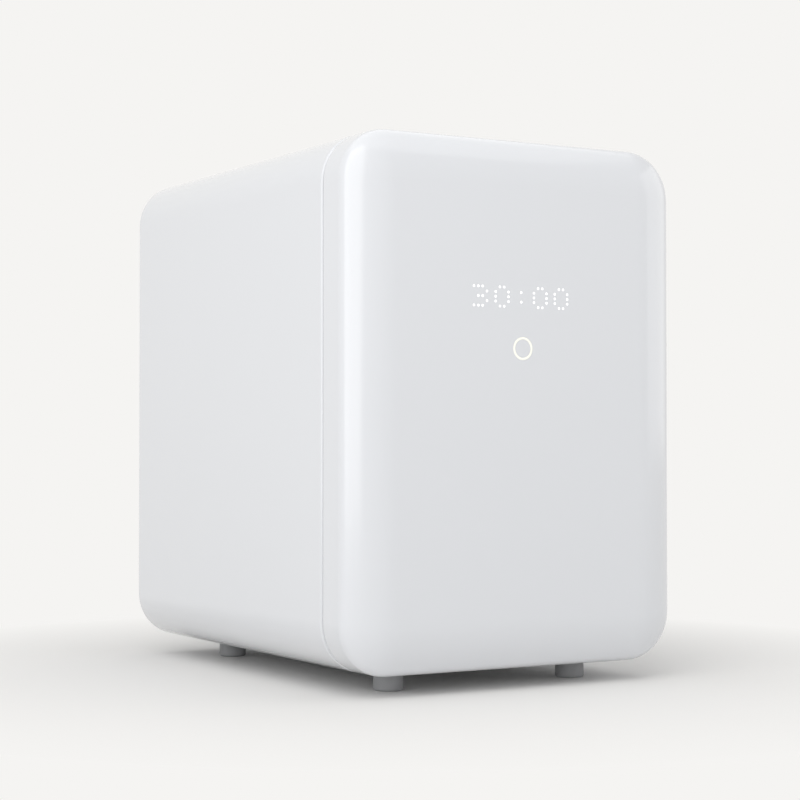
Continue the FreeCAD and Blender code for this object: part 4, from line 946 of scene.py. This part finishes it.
back = span("fan_frame")[1].y
section = mm((-2.4, -0.4), (-2, -0.05), (2, -0.05), (2.4, -0.4), (2, -2.9), (-2, -2.9))
work = bmesh.new()
disc = both_ends(arc(15.2 * MM, -2.6 * MM, 0.4 * MM, -90, 0, 3), -3 * MM)
turned(work, disc, (SPIN.x, back, SPIN.z), (0, 1, 0), 56)
for along, side in spokes(0):
    ends = [SPIN + along * radius for radius in (14 * MM, 43.6 * MM)]
    loft([[Vector((end.x, back + y, end.z)) + side * x for x, y in section] for end in ends], work=work)
finished(work, "fan_struts", "black_plastic", crisp=40)

# %% Fan motor
low, high, _ = span("fan_motor")
length, edge = high.y - low.y, 1 * MM
work = bmesh.new()
tube = mm((1.6, 0), (5, 0), (5.3, 0.4)) + [(5.3 * MM, length), (1.6 * MM, length)]
turned(work, tube, (SPIN.x, low.y, SPIN.z), (0, 1, 0), 40)
for along, side in spokes(45):
    rings = []
    for radius, half, margin in mm((5, 2.6, 3.2), (6, 4, 1.6), (11.5, 5.6, 1.2), (12.5, 4.4, 2.2)):
        base, y0, y1 = SPIN + along * radius, low.y + margin, high.y - margin
        rings.append([Vector((base.x, y, base.z)) + side * x for x, y in (
            (-half, y0 + edge), (edge - half, y0), (half - edge, y0), (half, y0 + edge),
            (half, y1 - edge), (half - edge, y1), (edge - half, y1), (-half, y1 - edge))])
    loft(rings, work=work)
finished(work, "fan_stator_coils", "copper_winding", "fan_motor", crisp=40)

# %% Fan shaft
low, high, _ = span("fan_shaft")
length = high.y - low.y
profile = mm((1.2, 0), (1.48, 0.3))
profile += [(radius, length - back) for radius, back in
            mm((1.48, 2), (1.2, 1.9), (1.2, 1.5), (1.48, 1.4), (1.48, 0.3), (1.2, 0))]
work = bmesh.new()
turned(work, profile, (SPIN.x, low.y, SPIN.z), (0, 1, 0))
finished(work, "fan_spindle", "screw_steel", "fan_shaft", body="fan")

# %% [markdown]
# ## The heater
# Flat ceramic bars warm thin folded strips of metal, which give their heat to the passing air. The strips
# are zigzags between the bars, as in a car's radiator. A picture of stripes would do from afar, but light
# falls through the gaps, so the strips are really folded.

# %% Heater
low, high, _ = span("heater_core")
half, folds, thin, overlap = high.x, 44, 0.12 * MM, 0.2 * MM
front, back = low.y + 2 * MM, high.y - 2 * MM
end_bar, near, far = 8 * MM, 11 * MM, 17 * MM
bars = [(low.z, low.z + end_bar), (SPIN.z - far, SPIN.z - near), (SPIN.z + near, SPIN.z + far),
        (high.z - end_bar, high.z)]
work = bmesh.new()
for z0, z1 in bars:
    soft_block(work, (-half, low.y + 1 * MM, z0), (half, high.y - 1 * MM, z1), 0.4 * MM)
for (_, under), (over, _) in zip(bars, bars[1:]):
    rings = []
    for n in range(folds + 1):
        x = (half - 2 * MM) * (2 * n / folds - 1)
        z = over + overlap if n % 2 else under - overlap
        rings.append([(x - thin, front, z), (x - thin, back, z), (x + thin, back, z), (x + thin, front, z)])
    loft(rings, work=work)
finished(work, "heater_fins_and_bars", "heat_sink", "heater_core", crisp=30)

# %% [markdown]
# ## Lamp diodes and inlet pins
# Each ultraviolet diode has a small clear dome on its white square. They show through the quartz windows.
# Two pins with rounded noses stand in the mains inlet. A sphere on a cylinder could be either of them, but
# a turned profile makes both parts at once and leaves no seam.

# %% Lamp diodes
def lamp_domes(place, sign):
    """A dome on every diode of one lamp board. sign is the way that the board looks, up or down."""
    low, high, mid = span(place + "_lamp_board")
    dome = mm((2.2, -0.1), (2.2, 0.5))
    dome += mm(*[(1.9 * cos(radians(a)), 0.5 + 1.9 * sin(radians(a))) for a in (0, 22, 45, 67, 84)])
    work = bmesh.new()
    for x in (-42 * MM, -14 * MM, 14 * MM, 42 * MM):
        for y in (mid.y - 13 * MM, mid.y + 13 * MM):
            turned(work, dome, (x, y, low.z if sign < 0 else high.z), (0, 0, sign), 28)
    finished(work, place + "_lamp_domes", "lamp_glass")


lamp_domes("roof", -1)
lamp_domes("floor", 1)

# %% Inlet pins
radius = 1.15 * MM
work = bmesh.new()
for low, high, mid in solids_of("inlet_pins"):
    nose = arc(0, high.y - low.y - radius, radius, 0, 75, 3)
    turned(work, [(radius, 0.0)] + nose, (mid.x, low.y, mid.z), (0, 1, 0), 28)
finished(work, "inlet_contact_pins", "pin_brass", "inlet_pins")

# %% [markdown]
# ## Circuit boards
# The power board and the control board stand inside the rear panel. Each keeps its green board and gets its
# own parts in their own finishes: a wound transformer, two cans, a relay, a chip and white plugs. They are
# seen only through slots, so rounded blocks and turned cans are enough. A part's row says where it starts
# from, and then come its place and size in millimetres: x, z, half width, half height, near and far side.
# The two round cans have only their x.

# %% Circuit boards
CAN = mm((7.4, 0), (7.8, 1), (7.5, 2), (7.8, 3), (7.8, 19), (7.3, 19.8), (6, 19.6))
POWER_PARTS = (
    ("_transformer", "copper_winding", [("middle", 0, 0, 11, 12, 2, 20)]),
    ("_core", "magnet", [("middle", 0, -13.5, 16, 2.5, 0, 22), ("middle", 0, 13.5, 16, 2.5, 0, 22)]),
    ("_cans", "black_plastic", [("top", -11), ("top", 11)]),
    ("_plug", "milky_plastic", [("bottom", 0, 0, 12, 4, 0, 6)]),
)
CONTROL_PARTS = (
    ("_relay", "black_plastic", [("top", 0, 0, 8, 8, 0, 14), ("middle", 0, 0, 8, 8, 0, 1.8)]),
    ("_plugs", "milky_plastic", [("bottom", x, 0, 6, 4, 0, 6) for x in (-15, 0, 15)]),
)


def board(kind, parts):
    low, high, mid = span(kind + "_board")
    green = high.y - 1.6 * MM
    rows = {"top": high.z - 16 * MM, "middle": mid.z, "bottom": low.z + 12 * MM}
    work = bmesh.new()
    soft_block(work, (low.x, green, low.z), high, 0.2 * MM)
    finished(work, kind + "_circuit", "green_board", kind + "_board")
    for name, slot_name, shapes in parts:
        work = bmesh.new()
        for row, x, *block in shapes:
            at = Vector((mid.x + x * MM, green, rows[row]))
            if block:
                z, half_x, half_z, near, far = [value * MM for value in block]
                soft_block(work, at + Vector((-half_x, -far, z - half_z)),
                           at + Vector((half_x, -near, z + half_z)), 0.5 * MM)
            else:
                turned(work, CAN, at, (0, -1, 0))
        finished(work, kind + "_circuit" + name, slot_name)


board("power", POWER_PARTS)
board("control", CONTROL_PARTS)

# %% [markdown]
# ## Floor, light and camera
# The object stands on a plain pale floor in soft studio light. The background's colour is the floor's and
# the world's own, so nothing has to be overlit to look white. The floor's shading fades into that colour
# away from the object. The camera stands in front and to the left.

# %% Floor
BACKGROUND = straight(245, 244, 242)
work, far = bmesh.new(), 6.0
work.faces.new([work.verts.new((x, y, 0)) for x, y in ((-far, -far), (far, -far), (far, far), (-far, far))])
floor = add_mesh("floor", work)
pale = bpy.data.materials.new("pale_floor")
pale.use_nodes = True
tree = pale.node_tree
shader = set_inputs(tree.nodes["Principled BSDF"], Base_Color=straight(243, 242, 240), Roughness=0.9)
place, ball, fade = [add_node(tree, kind) for kind in ("TexCoord", "TexGradient", "ValToRGB")]
ball.gradient_type = "SPHERICAL"
fade.color_ramp.elements[0].position, fade.color_ramp.elements[1].position = 0.05, 0.6
size = add_node(tree, "Mapping", Scale=(1.9, 1.9, 1.9))
plain, mix = add_node(tree, "Emission", Color=BACKGROUND), add_node(tree, "MixShader")
join(tree, (place, "Object", size, "Vector"), (size, "Vector", ball, "Vector"), (ball, "Color", fade, "Fac"),
     (fade, "Color", mix, "Fac"), (plain, "Emission", mix, 1), (shader, "BSDF", mix, 2),
     (mix, "Shader", tree.nodes["Material Output"], "Surface"))
floor.data.materials.append(pale)

# %% Room
# Even light from all round. What a camera, a gloss or a glass sees of the room is the background.
world = bpy.data.worlds.new("studio")
bpy.context.scene.world = world
world.use_nodes = True
tree = world.node_tree
room = set_inputs(tree.nodes["Background"], Color=(1.0, 1.0, 1.0, 1.0), Strength=0.425)
wall = add_node(tree, "Background", Color=BACKGROUND)
path, mix = add_node(tree, "LightPath"), add_node(tree, "MixShader")
seen, leaves = path, "Is Camera Ray"
for ray in ("Is Glossy Ray", "Is Transmission Ray"):
    either = add_node(tree, "Math")
    either.operation = "MAXIMUM"
    join(tree, (seen, leaves, either, 0), (path, ray, either, 1))
    seen, leaves = either, "Value"
join(tree, (seen, leaves, mix, "Fac"), (room, "Background", mix, 1), (wall, "Background", mix, 2),
     (mix, "Shader", tree.nodes["World Output"], "Surface"))
print("room and floor are set")

# %% Lamps
def aimed(name, data, at, direction):
    """An object that looks along a direction."""
    made = add_object(name, data)
    made.location = at
    made.rotation_mode = "QUATERNION"
    made.rotation_quaternion = direction.to_track_quat("-Z", "Y")
    return made


def lamp(name, at, aim, size, power):
    light = bpy.data.lights.new(name, "AREA")
    light.shape, light.size, light.size_y, light.energy = "RECTANGLE", size[0], size[1], power
    aimed(name, light, at, Vector(aim) - Vector(at))


lamp("left_softbox", (-1.33, -1.07, 1.2), (-0.13, -0.17, 0.8), (2.3, 2.4), 23)
lamp("right_softbox", (1.5, -0.6, 0.7), (0.1, -0.1, 0.3), (1.2, 1.1), 2.5)
lamp("overhead_softbox", (0.0, -0.2, 1.8), (0, 0, 0.2), (2.4, 2.4), 10)

# %% Camera
VIEW_ANGLE, TURN, TILT = 23.42, -30.31, 1.25
DISTANCE, SHIFT, DROP = 1.5548, 0.00554, 0.02806
data = bpy.data.cameras.new("camera")
data.sensor_fit = "HORIZONTAL"
data.angle = radians(VIEW_ANGLE)
data.clip_start, data.clip_end = 0.05, 50
turn, tilt = radians(TURN), radians(TILT)
away, right = Vector((sin(turn), -cos(turn), 0)), Vector((cos(turn), sin(turn), 0))
at = away * DISTANCE + right * SHIFT + Vector((0, 0, CASE_MID.z - DROP))
ahead = Vector((-sin(turn) * cos(tilt), cos(turn) * cos(tilt), sin(tilt)))
bpy.context.scene.camera = aimed("camera", data, at, ahead)
print("camera at", [round(v, 3) for v in at])
bpy.context.scene.view_settings.view_transform = "Standard"
